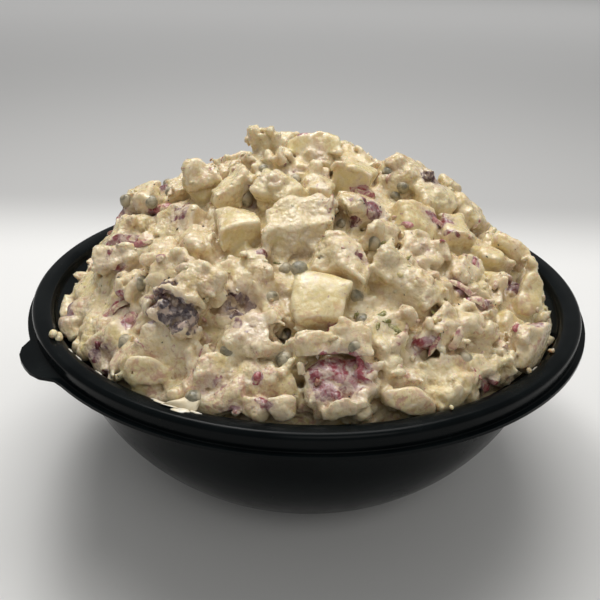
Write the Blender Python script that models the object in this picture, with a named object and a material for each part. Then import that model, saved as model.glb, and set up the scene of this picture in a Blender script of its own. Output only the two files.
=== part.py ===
"""Potato salad heaped in its round black plastic bowl.

The bowl is one thin sheet turned round Z, with a stepped rim, an outer skirt, a narrow flange
and one lifting tab. The salad is one body: a core that fills the bowl and rises into a mound,
with the potato chunks, skin and onion pieces, capers and crumbs that show fused onto it.
Origin at the middle of the bowl's base, +Z up, the photographed side towards -Y. Metres.
"""
from math import atan2, cos, hypot, pi, radians, sin, sqrt

import bmesh
import bpy
import numpy as np
from mathutils import Matrix, Vector

MM = 0.001
SEED = 11

# Bowl
RIM_RADIUS = 127 * MM
RIM_HEIGHT = 92.4 * MM
BASE_RADIUS = 51 * MM
NECK_RADIUS = 0.9 * RIM_RADIUS
SKIRT_DEPTH = 8.1 * MM
FLANGE_RADIUS = 130 * MM
SHEET = 1.2 * MM
BODY_CURVE = 0.67
BODY_STEPS = 7
TURN_STEPS = 58
TAB_ANGLE = radians(-145)
TAB_HALF_ANGLE = radians(8)
TAB_REACH = 6.4 * MM
TAB_STEPS = 8

# The rim's line as shares of its radius, and depths below its top
LEDGE = (0.915, 7.0 * MM)
STEP_FOOT = (0.930, 5.6 * MM)
STEP_TOP = (0.935, 2.0 * MM)
RIM_INNER_EDGE = 0.955
RIM_CORNER = 1.0 * MM
FLANGE_LIFT = 0.3 * MM

# Heap
GAP = 0.35 * MM
EDGE_RADIUS = 112 * MM
EDGE_HEIGHT = RIM_HEIGHT - 6 * MM
MOUND_HEIGHT = 69.5 * MM
PEAK = (-5 * MM, 27 * MM)
MOUND_SPREAD = 1.54
MOUND_ROUND = 0.6
CORE_DEPTH = 6.5 * MM
CORE_EDGE_RADIUS = 108.1 * MM
CORE_EDGE_HEIGHT = RIM_HEIGHT - 8 * MM
CORE_WALL_INSET = 0.2 * MM
RING_CROWDING = 1.5
NEAR_EDGE = 0.985
CORE_TURN_STEPS = 28
CORE_RINGS = 7
BLOCK_POWER = 3.4
LUMP_GROWTH = 1.1
UNEVEN = (0.9, 1.05)
CAPER_RADIUS = 3.1 * MM
OPEN_ANGLE = pi
OPEN_HALF_ANGLE = radians(9)
OPEN_RADIUS = 109.6 * MM

# Pieces that stand out, in millimetres: place across and along, how far the top stands out of
# the mound, then length, width and height, and the turn in degrees round the mound's normal.
CHUNKS = {
    "peak_nub": (-24, 31, 7, 14, 12, 12, 20),
    "peak_nub_small": (-16, 27, 5, 10, 9, 9, 50),
    "crown_left": (-21, 5, 3, 24, 16, 16, 10),
    "crown_middle": (2, 6, 3, 20, 16, 14, -15),
    "crown_right": (21, -5, 3, 23, 20, 18, 25),
    "yellow_cube": (-49, -2, 5, 21, 16, 16, 12),
    "right_peak": (43, 7, 5, 23, 18, 17, 20),
    "right_bump": (66, 20, 6, 15, 14, 14, 0),
    "left_shoulder": (-76, 0, 7, 21, 17, 18, -20),
    "round_chunk": (-30, -45, 5, 21, 21, 20, 40),
    "central": (-5, -48, 5, 29, 27, 22, 15),
    "skin_centre": (21, -34, 4, 25, 18, 15, -20),
    "big_left": (-47, -69, 4, 31, 25, 20, 8),
    "lower_left": (-50, -90, 4, 32, 24, 20, -12),
    "left_middle": (-73, -64, 3, 24, 17, 15, 25),
    "left_edge": (-94, -40, 3, 17, 20, 15, 10),
    "left_low": (-97, -51, 2, 14, 14, 13, 35),
    "left_coated": (-60, -48, 2, 25, 18, 16, -20),
    "middle_rubble": (-23, -70, 3, 22, 18, 15, 30),
    "front_cube": (5, -82, 6, 24, 23, 21, -8),
    "front_slab": (7, -96, 4, 28, 15, 14, 5),
    "red_skinned": (13, -104, 5, 27, 25, 20, -15),
    "front_low_left": (-5, -106, 2, 18, 14, 13, 10),
    "front_low_right": (35, -102, 2, 19, 14, 13, -10),
    "right_big": (38, -64, 4, 33, 30, 22, 20),
    "right_yellow": (83, -28, 4, 23, 18, 17, -30),
    "right_slab": (93, -44, 4, 12, 22, 17, 25),
    "right_cube": (84, -63, 2, 28, 20, 17, 10),
    "low_right": (54, -93, 3, 23, 18, 16, -15),
    "right_low": (51, -83, 2, 23, 19, 16, 30),
    "right_middle": (66, -49, 3, 19, 17, 14, 0),
    "middle_right": (30, -46, 2, 18, 15, 14, 45),
    "upper_middle": (-11, -26, 2, 26, 16, 15, -10),
    "left_upper": (-47, -46, 2, 24, 18, 16, 20),
    "brown_lump": (-18, -92, 3, 21, 20, 16, 15),
    "low_left_middle": (-32, -100, 2, 22, 15, 14, -20),
    "left_low_bits": (-75, -78, 2, 20, 18, 14, 10),
    "low_middle": (-17, -105, 2, 18, 15, 13, 0),
}

# Strips of red skin and red onion, laid out as the chunks are
STRIPS = {
    "onion_left": (-58, -29, 2.5, 20, 7, 3, 10),
    "onion_top_left": (-50, -22, 3, 14, 6, 3, -35),
    "left_top": (-78, -39, 2.5, 24, 6, 3, 15),
    "left_pink": (-76, -62, 3, 15, 6, 3, -25),
    "dark_skin": (-47, -81, 4, 17, 14, 4, 30),
    "purple_skin": (-24, -83, 3, 16, 12, 4, 60),
    "purple_right": (57, -28, 3, 20, 8, 3, -30),
    "mauve_right": (62, -65, 3, 20, 9, 3, -40),
    "crimson_centre": (24, -30, 4, 14, 11, 3, 15),
    "dark_red_low": (68, -87, 3, 13, 10, 4, 40),
    "top_left": (-28, -16, 3, 14, 7, 3, 20),
    "right_upper": (38, 2, 3, 15, 7, 3, -10),
}

# How the rest of the mound is covered: tries, and half sizes from the first laid to the last
CLOSENESS = 0.9
CHUNK_TRIES = 2400
CHUNK_REACHES = (12 * MM, 7.5 * MM)
STRIP_TRIES = 200
STRIP_REACHES = (26 * MM, 20 * MM)
CAPER_TRIES = 400
CAPER_REACHES = (17 * MM, 13 * MM)
CRUMB_TRIES = 400
CRUMB_REACHES = (24 * MM, 18 * MM)


def clear_scene():
    for item in list(bpy.data.objects):
        bpy.data.objects.remove(item, do_unlink=True)


def principled(name, colour, roughness, metallic=0.0):
    material = bpy.data.materials.new(name)
    material.use_nodes = True
    shader = material.node_tree.nodes["Principled BSDF"]
    shader.inputs["Base Color"].default_value = (*colour, 1.0)
    shader.inputs["Roughness"].default_value = roughness
    shader.inputs["Metallic"].default_value = metallic
    return material


def new_object(name, bm, material):
    mesh = bpy.data.meshes.new(name)
    bm.to_mesh(mesh)
    bm.free()
    mesh.materials.append(material)
    item = bpy.data.objects.new(name, mesh)
    bpy.context.collection.objects.link(item)
    return item


def offset_line(points, distance):
    """Moves an open line of (radius, height) points sideways, to its left, by distance."""
    moved = []
    for i, (r, z) in enumerate(points):
        before = points[max(i - 1, 0)]
        after = points[min(i + 1, len(points) - 1)]
        first = Vector((r - before[0], z - before[1]))
        second = Vector((after[0] - r, after[1] - z))
        first = first.normalized() if first.length else second.normalized()
        second = second.normalized() if second.length else first
        along = (first + second).normalized()
        stretch = 1 / max(along.dot(first), 0.6)
        moved.append((r - along.y * distance * stretch, z + along.x * distance * stretch))
    return moved


def body_line():
    """Middle of the sheet from the flat base up to the neck, as (radius, height)."""
    half = SHEET / 2
    span = NECK_RADIUS - BASE_RADIUS
    rise = RIM_HEIGHT - SKIRT_DEPTH - half
    line = [(0.0, half)]
    for i in range(BODY_STEPS + 1):
        t = (i / BODY_STEPS) ** 1.6
        bulge = (1 - (1 - t) ** 2) ** BODY_CURVE
        line.append((BASE_RADIUS - half + span * bulge, half + rise * t))
    return line


def rim_line():
    """Middle of the sheet from the neck over the rim and down to the flange's edge."""
    half = SHEET / 2
    top = RIM_HEIGHT - half
    skirt = RIM_RADIUS - half
    low = RIM_HEIGHT - SKIRT_DEPTH + half
    return [
        (LEDGE[0] * RIM_RADIUS, RIM_HEIGHT - LEDGE[1]),
        (STEP_FOOT[0] * RIM_RADIUS, RIM_HEIGHT - STEP_FOOT[1]),
        (STEP_TOP[0] * RIM_RADIUS, RIM_HEIGHT - STEP_TOP[1]),
        (RIM_INNER_EDGE * RIM_RADIUS, top),
        (skirt - RIM_CORNER, top),
        (skirt, top - RIM_CORNER),
        (skirt, low),
        (FLANGE_RADIUS - half, low + FLANGE_LIFT),
    ]


def tab_reach(angle):
    """How far the flange runs out at an angle: a rounded tab round TAB_ANGLE."""
    share = abs(angle - TAB_ANGLE) / TAB_HALF_ANGLE
    return TAB_REACH * (1 - share ** 3) if share < 1 else 0.0


def turn_angles():
    """Even steps round the bowl, with finer ones across the tab."""
    angles = []
    for i in range(TURN_STEPS):
        angle = -pi + 2 * pi * i / TURN_STEPS
        if abs(angle - TAB_ANGLE) > TAB_HALF_ANGLE * 1.1:
            angles.append(angle)
    for i in range(TAB_STEPS + 1):
        angles.append(TAB_ANGLE + TAB_HALF_ANGLE * (2 * i / TAB_STEPS - 1))
    return sorted(angles)


def ring_faces(bm, rings):
    for lower, upper in zip(rings, rings[1:]):
        for j in range(len(lower)):
            k = (j + 1) % len(lower)
            bm.faces.new((lower[j], lower[k], upper[k], upper[j]))


def fan_faces(bm, centre, ring):
    for j in range(len(ring)):
        bm.faces.new((centre, ring[(j + 1) % len(ring)], ring[j]))


def make_bowl():
    middle = body_line() + rim_line()
    outer = offset_line(middle, -SHEET / 2)
    inner = offset_line(middle, SHEET / 2)
    loop = outer[1:] + inner[:0:-1]
    tips = {len(outer) - 2, len(outer) - 1}
    bm = bmesh.new()
    rings = []
    for i, (r, z) in enumerate(loop):
        ring = []
        for angle in turn_angles():
            reach = r + (tab_reach(angle) if i in tips else 0.0)
            ring.append(bm.verts.new((reach * cos(angle), reach * sin(angle), z)))
        rings.append(ring)
    ring_faces(bm, rings)
    fan_faces(bm, bm.verts.new((0, 0, 0)), rings[0])
    fan_faces(bm, bm.verts.new((0, 0, SHEET)), rings[-1])
    bmesh.ops.recalc_face_normals(bm, faces=bm.faces)
    plastic = principled("black_plastic", (0.012, 0.013, 0.015), 0.3)
    bowl = new_object("bowl", bm, plastic)
    bowl.data.shade_smooth()
    bowl.data.set_sharp_from_angle(angle=radians(40))
    return bowl


def wall_radius(height):
    """Largest radius that clears the bowl's inner face at a height, by the usual gap."""
    line = offset_line(body_line() + rim_line(), SHEET / 2 + GAP)
    radii = [r for r, z in line[1:BODY_STEPS + 5]]
    heights = [z for r, z in line[1:BODY_STEPS + 5]]
    return float(np.interp(height, heights, radii))


def mound_share(x, y):
    """0 at the peak and 1 at the heap's edge, along the line out from the peak."""
    dx = x - PEAK[0]
    dy = y - PEAK[1]
    square = dx * dx + dy * dy
    cross = 2 * (PEAK[0] * dx + PEAK[1] * dy)
    rest = PEAK[0] ** 2 + PEAK[1] ** 2 - EDGE_RADIUS ** 2
    return (-cross - sqrt(max(cross * cross - 4 * rest * square, 0))) / (2 * rest)


def mound_height(x, y):
    share = min(max(mound_share(x, y), 0.0), 1.0)
    return EDGE_HEIGHT + MOUND_HEIGHT * (1 - share ** MOUND_SPREAD) ** MOUND_ROUND


def mound_frame(x, y):
    """Point and outward normal of the mound over a place in the plan."""
    step = 2 * MM
    share = mound_share(x, y)
    pull = min(1.0, NEAR_EDGE / share) if share > 0 else 1.0
    x = PEAK[0] + (x - PEAK[0]) * pull
    y = PEAK[1] + (y - PEAK[1]) * pull
    slope_x = (mound_height(x + step, y) - mound_height(x - step, y)) / (2 * step)
    slope_y = (mound_height(x, y + step) - mound_height(x, y - step)) / (2 * step)
    return Vector((x, y, mound_height(x, y))), Vector((-slope_x, -slope_y, 1)).normalized()


def make_core(material):
    """The body under the pieces: parallel to the bowl below, a smaller mound above."""
    wall = offset_line(body_line() + rim_line(), SHEET / 2 + GAP)[1:BODY_STEPS + 1]
    core_rise = MOUND_HEIGHT - CORE_DEPTH
    bm = bmesh.new()
    angles = [2 * pi * j / CORE_TURN_STEPS for j in range(CORE_TURN_STEPS)]
    rings = []
    for r, z in wall:
        r -= CORE_WALL_INSET
        rings.append([bm.verts.new((r * cos(a), r * sin(a), z)) for a in angles])
    for i in range(CORE_RINGS):
        share = 1 - (i / CORE_RINGS) ** RING_CROWDING
        ring = []
        for a in angles:
            x = PEAK[0] + (CORE_EDGE_RADIUS * cos(a) - PEAK[0]) * share
            y = PEAK[1] + (CORE_EDGE_RADIUS * sin(a) - PEAK[1]) * share
            rise = core_rise * (1 - share ** MOUND_SPREAD) ** MOUND_ROUND
            ring.append(bm.verts.new((x, y, CORE_EDGE_HEIGHT + rise)))
        rings.append(ring)
    ring_faces(bm, rings)
    peak_height = CORE_EDGE_HEIGHT + core_rise
    fan_faces(bm, bm.verts.new((0, 0, wall[0][1])), rings[0])
    fan_faces(bm, bm.verts.new((PEAK[0], PEAK[1], peak_height)), rings[-1])
    bmesh.ops.recalc_face_normals(bm, faces=bm.faces)
    return new_object("salad", bm, material)


def block_points(size, rng):
    """Rounded block of 48 triangles as points and triangles, a little uneven."""
    grid = [(a, b, c) for a in (-1, 0, 1) for b in (-1, 0, 1) for c in (-1, 0, 1)]
    grid.remove((0, 0, 0))
    index = {spot: i for i, spot in enumerate(grid)}
    points = []
    for spot in grid:
        ways = sum(abs(k) for k in spot)
        scale = ways ** (-1 / BLOCK_POWER) * rng.uniform(*UNEVEN)
        points.append([spot[k] * scale * size[k] / 2 for k in range(3)])
    triangles = []
    for axis in range(3):
        for side in (-1, 1):
            for a, b in ((-1, -1), (-1, 0), (0, -1), (0, 0)):
                corners = []
                for da, db in ((0, 0), (1, 0), (1, 1), (0, 1)):
                    spot = [a + da, b + db]
                    spot.insert(axis, side)
                    corners.append(index[tuple(spot)])
                triangles.append([corners[0], corners[1], corners[2]])
                triangles.append([corners[0], corners[2], corners[3]])
    return points, triangles


def lump_points(size, rng):
    """Plainer rounded block of twenty triangles."""
    bm = bmesh.new()
    bmesh.ops.create_icosphere(bm, subdivisions=1, radius=1)
    points = []
    for vert in bm.verts:
        total = sum(abs(c) ** BLOCK_POWER for c in vert.co)
        scale = LUMP_GROWTH * total ** (-1 / BLOCK_POWER) * rng.uniform(*UNEVEN)
        points.append([vert.co[k] * scale * size[k] / 2 for k in range(3)])
    triangles = [[v.index for v in face.verts] for face in bm.faces]
    bm.free()
    return points, triangles


def ball_points(size, rng):
    """Eight-sided small lump as points and triangles."""
    points = [[0, 0, size[2] / 2], [0, 0, -size[2] / 2]]
    for i in range(4):
        angle = pi / 2 * i + rng.uniform(-0.2, 0.2)
        points.append([cos(angle) * size[0] / 2, sin(angle) * size[1] / 2, 0])
    triangles = []
    for i in range(4):
        k = (i + 1) % 4
        triangles.append([0, 2 + i, 2 + k])
        triangles.append([1, 2 + k, 2 + i])
    return points, triangles


def strip_points(size, rng):
    """Thin bent strip of skin or onion as points and triangles."""
    length, width, height = size
    bend = rng.uniform(0.1, 0.22) * length
    points = []
    for i in range(4):
        u = i / 3 * 2 - 1
        taper = 1 - 0.45 * u * u
        for side, level in ((-1, 0), (1, 0), (1, 1), (-1, 1)):
            points.append([u * length / 2, side * width / 2 * taper, level * height - bend * u * u])
    triangles = [[0, 1, 2], [0, 2, 3], [12, 14, 13], [12, 15, 14]]
    for i in range(3):
        for k in range(4):
            a = 4 * i + k
            b = 4 * i + (k + 1) % 4
            triangles.append([a, a + 4, b])
            triangles.append([b, a + 4, b + 4])
    return points, triangles


def place(points, spot, lift, height, turn, tilt):
    """Seats a piece on the mound, its top standing out by lift, clear of the bowl's wall."""
    base, normal = mound_frame(*spot)
    across = Vector((0, 0, 1)).cross(normal)
    across = across.normalized() if across.length > 0.05 else Vector((1, 0, 0))
    along = normal.cross(across)
    basis = Matrix((across, along, normal)).transposed()
    turned = basis @ Matrix.Rotation(turn, 3, "Z") @ Matrix.Rotation(tilt, 3, "X")
    centre = base + normal * (lift - height / 2)
    placed = [centre + turned @ Vector(p) for p in points]
    push = 0.0
    for p in placed:
        off = abs((atan2(p.y, p.x) - OPEN_ANGLE + pi) % (2 * pi) - pi)
        limit = wall_radius(p.z)
        if off < OPEN_HALF_ANGLE:
            limit = min(limit, OPEN_RADIUS)
        push = max(push, hypot(p.x, p.y) - limit)
    if push > 0:
        inward = Vector((-centre.x, -centre.y, 0)).normalized() * (push + 0.2 * MM)
        placed = [p + inward for p in placed]
    return placed


def add_piece(collection, points, triangles):
    mesh = bpy.data.meshes.new("piece")
    mesh.from_pydata([tuple(p) for p in points], [], triangles)
    bm = bmesh.new()
    bm.from_mesh(mesh)
    bmesh.ops.recalc_face_normals(bm, faces=bm.faces)
    bm.to_mesh(mesh)
    bm.free()
    item = bpy.data.objects.new("piece", mesh)
    collection.objects.link(item)


def spread(tries, rng, taken, reaches):
    """Even cover of the mound: random places, each kept where no earlier piece is too near.

    Reaches are the largest and the smallest half size, and the largest are laid first."""
    for i in range(tries):
        radius = EDGE_RADIUS * sqrt(rng.uniform(0, 1)) * NEAR_EDGE
        angle = rng.uniform(-pi, pi)
        reach = reaches[0] + (reaches[1] - reaches[0]) * i / tries
        spot = mound_frame(radius * cos(angle), radius * sin(angle))[0]
        if all((spot - other).length > CLOSENESS * (reach + size) for other, size in taken):
            taken.append((spot, reach))
            yield spot.x, spot.y, reach


def add_chunks(collection, rng, taken):
    for x, y, lift, length, width, height, turn in CHUNKS.values():
        size = (length * MM, width * MM, height * MM)
        points, triangles = block_points(size, rng)
        tilt = rng.uniform(-0.2, 0.2)
        placed = place(points, (x * MM, y * MM), lift * MM, size[2], radians(turn), tilt)
        add_piece(collection, placed, triangles)
        taken.append((mound_frame(x * MM, y * MM)[0], (length + width) * MM / 4))
    for x, y, reach in spread(CHUNK_TRIES, rng, taken, CHUNK_REACHES):
        length = 2 * reach * rng.uniform(1.05, 1.2)
        size = (length, length * rng.uniform(0.75, 0.95), length * rng.uniform(0.65, 0.85))
        lift = rng.uniform(1, 5.5) * MM
        turn = rng.uniform(0, pi)
        tilt = rng.uniform(-0.4, 0.4)
        points, triangles = lump_points(size, rng)
        add_piece(collection, place(points, (x, y), lift, size[2], turn, tilt), triangles)


def add_strips(collection, rng):
    taken = []
    for x, y, lift, length, width, height, turn in STRIPS.values():
        size = (length * MM, width * MM, height * MM)
        points, triangles = strip_points(size, rng)
        placed = place(points, (x * MM, y * MM), lift * MM, size[2], radians(turn), 0.0)
        add_piece(collection, placed, triangles)
        taken.append((mound_frame(x * MM, y * MM)[0], STRIP_REACHES[0]))
    for x, y, reach in spread(STRIP_TRIES, rng, taken, STRIP_REACHES):
        size = (rng.uniform(12, 20) * MM, rng.uniform(5, 9) * MM, 3 * MM)
        points, triangles = strip_points(size, rng)
        turn = rng.uniform(0, pi)
        add_piece(collection, place(points, (x, y), 3 * MM, size[2], turn, 0.0), triangles)


def add_small(collection, rng):
    for x, y, reach in spread(CAPER_TRIES, rng, [], CAPER_REACHES):
        size = [2 * CAPER_RADIUS * rng.uniform(0.95, 1.15) for k in range(3)]
        points, triangles = ball_points(size, rng)
        add_piece(collection, place(points, (x, y), 4 * MM, size[2], 0.0, 0.0), triangles)
    for x, y, reach in spread(CRUMB_TRIES, rng, [], CRUMB_REACHES):
        size = [rng.uniform(6, 9) * MM for k in range(3)]
        points, triangles = ball_points(size, rng)
        turn = rng.uniform(0, pi)
        add_piece(collection, place(points, (x, y), 3.5 * MM, size[2], turn, 0.0), triangles)


def keep_largest_body(item):
    """Drops loose scraps and the shells of shut hollows that the union leaves."""
    bm = bmesh.new()
    bm.from_mesh(item.data)
    seen = set()
    bodies = []
    for start in bm.verts:
        if start in seen:
            continue
        body = [start]
        seen.add(start)
        for vert in body:
            for edge in vert.link_edges:
                other = edge.other_vert(vert)
                if other not in seen:
                    seen.add(other)
                    body.append(other)
        bodies.append(body)
    bodies.sort(key=len)
    for body in bodies[:-1]:
        bmesh.ops.delete(bm, geom=body, context="VERTS")
    bmesh.ops.triangulate(bm, faces=bm.faces)
    bm.to_mesh(item.data)
    bm.free()


def make_salad():
    rng = np.random.default_rng(SEED)
    cream = principled("potato_salad", (0.74, 0.62, 0.38), 0.45)
    salad = make_core(cream)
    pieces = bpy.data.collections.new("salad_pieces")
    add_chunks(pieces, rng, [])
    add_strips(pieces, rng)
    add_small(pieces, rng)
    join = salad.modifiers.new("join", "BOOLEAN")
    join.operation = "UNION"
    join.operand_type = "COLLECTION"
    join.collection = pieces
    join.solver = "EXACT"
    bpy.context.view_layer.objects.active = salad
    salad.select_set(True)
    bpy.ops.object.modifier_apply(modifier=join.name)
    for item in list(pieces.objects):
        bpy.data.objects.remove(item, do_unlink=True)
    bpy.data.collections.remove(pieces)
    keep_largest_body(salad)
    salad.data.shade_smooth()
    salad.data.set_sharp_from_angle(angle=radians(50))
    return salad


clear_scene()
make_bowl()
make_salad()
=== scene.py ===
"""Looks of the potato salad and its black bowl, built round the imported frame."""
from itertools import product
from math import atan2, cos, hypot, pi, radians, sin, sqrt

import bmesh
import bpy
import numpy as np
from mathutils import Matrix, Vector
from mathutils.bvhtree import BVHTree


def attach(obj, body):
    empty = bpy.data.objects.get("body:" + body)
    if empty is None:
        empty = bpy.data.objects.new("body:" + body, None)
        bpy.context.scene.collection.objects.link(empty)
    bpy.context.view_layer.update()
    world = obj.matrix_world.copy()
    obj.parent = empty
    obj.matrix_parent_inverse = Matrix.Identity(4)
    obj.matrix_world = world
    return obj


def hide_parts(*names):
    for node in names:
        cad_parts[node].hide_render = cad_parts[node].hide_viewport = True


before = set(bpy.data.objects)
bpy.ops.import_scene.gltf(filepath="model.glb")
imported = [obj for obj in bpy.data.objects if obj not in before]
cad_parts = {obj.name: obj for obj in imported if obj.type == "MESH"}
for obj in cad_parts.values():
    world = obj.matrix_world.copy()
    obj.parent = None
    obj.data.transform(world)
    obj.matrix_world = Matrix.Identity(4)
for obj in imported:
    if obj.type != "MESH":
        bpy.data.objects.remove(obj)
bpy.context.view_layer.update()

MM = 0.001

# Seeds: of the chunks' places and their kinds, which the solids share, and of everything else
SEED = 11
KIND_SEED = 12
LOOK_SEED = 14

# The bowl, in millimetres: the lines of its sheet are given by shares of the rim's radius and
# by heights below the rim
RIM_RADIUS = 127.0
RIM_HEIGHT = 92.4
BASE_RADIUS = 51.0
NECK_RADIUS = 0.9 * RIM_RADIUS
SKIRT_DEPTH = 8.1
FLANGE_RADIUS = 130.0
SHEET = 1.2
BODY_CURVE = 0.67
BODY_SPACING = 1.6
TAB_ANGLE = radians(-145)
TAB_HALF_ANGLE = radians(8)
TAB_REACH = 6.4
LEDGE = (0.915, 7.0)
STEP_FOOT = (0.930, 5.6)
STEP_TOP = (0.935, 2.0)
RIM_INNER_EDGE = 0.955
RIM_CORNER = 1.0
FLANGE_LIFT = 0.3
BODY_STEPS = 28
BOWL_STEPS = 160
CORNER = 1.4
CREASE_ANGLE = radians(32)

# The inner wall's line is coarser, as the solids have it, and runs from the body to the rim's
# edge; GAP is what the solids leave between it and the salad
WALL_STEPS = 7
WALL_PART = slice(1, 12)
GAP = 0.35

# The heap, in millimetres: its edge, its peak, and the two places where it leaves the wall bare
EDGE_RADIUS = 112.0
EDGE_HEIGHT = RIM_HEIGHT - 6.0
MOUND_HEIGHT = 69.5
PEAK = (-5.0, 27.0)
MOUND_SPREAD = 1.54
MOUND_ROUND = 0.6
NEAR_EDGE = 0.985
OPEN_ANGLE = pi
OPEN_HALF_ANGLE = radians(9)
OPEN_RADIUS = 109.6
OPEN_TOP = RIM_HEIGHT + 0.8
BARE_WALL_ANGLE = radians(-7)
BARE_WALL_HALF_ANGLE = radians(17)
BARE_WALL_RADIUS = 106.5
WALL_SLACK = 0.2
EDGE_OVERHANG = 3.0
EDGE_CLEARANCE = 0.1
EDGE_GRAIN = 1.5
OPEN_GRAIN = 1.6
NO_LIMIT = 999.0

# The core under the chunks: its edge, how far it lies below the mound, and where it rises
# towards the front edge
CORE_EDGE_RADIUS = 108.1
CORE_EDGE_HEIGHT = RIM_HEIGHT - 8.0
CORE_FOOT = 66.0
DRESSING_DEPTH = 11.0
FRONT_FILL = 4.0
FRONT_FILL_RADIUS = 99.0
FRONT_FILL_WIDTH = 8.0
FRONT_FILL_REACH = 60.0

# The spread of the chunks that the photograph doesn't fix, as the solids have it
CLOSENESS = 0.9
CHUNK_TRIES = 2400
CHUNK_REACHES = (12.0, 7.5)
UNEVEN = (0.9, 1.05)
CHUNK_POINTS = 26
FILLER_POINTS = 12
FILLER_LENGTHS = (1.05, 1.2)
FILLER_WIDTHS = (0.75, 0.95)
FILLER_HEIGHTS = (0.65, 0.85)
FILLER_LIFTS = (1, 5.5)
CHUNK_TILT = 0.2
FILLER_TILT = 0.4
BARE_SHARE = 0.12

# Pieces that stand out: place across and along, how far the top stands out of the mound, then
# length, width and height, the turn in degrees round the mound's normal, and the kind
CHUNKS = {
    "peak_nub": (-24, 31, 7, 14, 12, 12, 20, "coated"),
    "peak_nub_small": (-16, 27, 5, 10, 9, 9, 50, "coated"),
    "crown_left": (-21, 5, 3, 24, 16, 16, 10, "coated"),
    "crown_middle": (2, 6, 3, 20, 16, 14, -15, "coated"),
    "crown_right": (21, -5, 3, 23, 20, 18, 25, "bare"),
    "yellow_cube": (-49, -2, 5, 21, 16, 16, 12, "bare"),
    "right_peak": (43, 7, 5, 23, 18, 17, 20, "coated"),
    "right_bump": (66, 20, 6, 15, 14, 14, 0, "coated"),
    "left_shoulder": (-76, 0, 7, 21, 17, 18, -20, "coated"),
    "round_chunk": (-30, -45, 5, 21, 21, 20, 40, "bare"),
    "central": (-5, -48, 5, 29, 27, 22, 15, "coated"),
    "skin_centre": (21, -34, 4, 25, 18, 15, -20, "coated"),
    "big_left": (-47, -69, 4, 31, 25, 20, 8, "coated"),
    "lower_left": (-50, -90, 4, 32, 24, 20, -12, "coated"),
    "left_middle": (-73, -64, 3, 24, 17, 15, 25, "coated"),
    "left_edge": (-94, -40, 3, 17, 20, 15, 10, "bare"),
    "left_low": (-97, -51, 2, 14, 14, 13, 35, "coated"),
    "left_coated": (-60, -48, 2, 25, 18, 16, -20, "coated"),
    "middle_rubble": (-23, -70, 3, 22, 18, 15, 30, "coated"),
    "front_cube": (5, -82, 6, 24, 23, 21, -8, "bare"),
    "front_slab": (7, -96, 4, 28, 15, 14, 5, "coated"),
    "red_skinned": (13, -104, 5, 27, 25, 20, -15, "coated"),
    "front_low_left": (-5, -106, 2, 18, 14, 13, 10, "bare"),
    "front_low_right": (35, -102, 2, 19, 14, 13, -10, "coated"),
    "right_big": (38, -64, 4, 33, 30, 22, 20, "coated"),
    "right_yellow": (83, -28, 4, 23, 18, 17, -30, "bare"),
    "right_slab": (93, -44, 4, 12, 22, 17, 25, "bare"),
    "right_cube": (84, -63, 2, 28, 20, 17, 10, "bare"),
    "low_right": (54, -93, 3, 23, 18, 16, -15, "coated"),
    "right_low": (51, -83, 2, 23, 19, 16, 30, "coated"),
    "right_middle": (66, -49, 3, 19, 17, 14, 0, "coated"),
    "middle_right": (30, -46, 2, 18, 15, 14, 45, "coated"),
    "upper_middle": (-11, -26, 2, 26, 16, 15, -10, "coated"),
    "left_upper": (-47, -46, 2, 24, 18, 16, 20, "coated"),
    "brown_lump": (-18, -92, 3, 21, 20, 16, 15, "coated"),
    "low_left_middle": (-32, -100, 2, 22, 15, 14, -20, "coated"),
    "left_low_bits": (-75, -78, 2, 20, 18, 14, 10, "coated"),
    "low_middle": (-17, -105, 2, 18, 15, 13, 0, "coated"),
}

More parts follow.
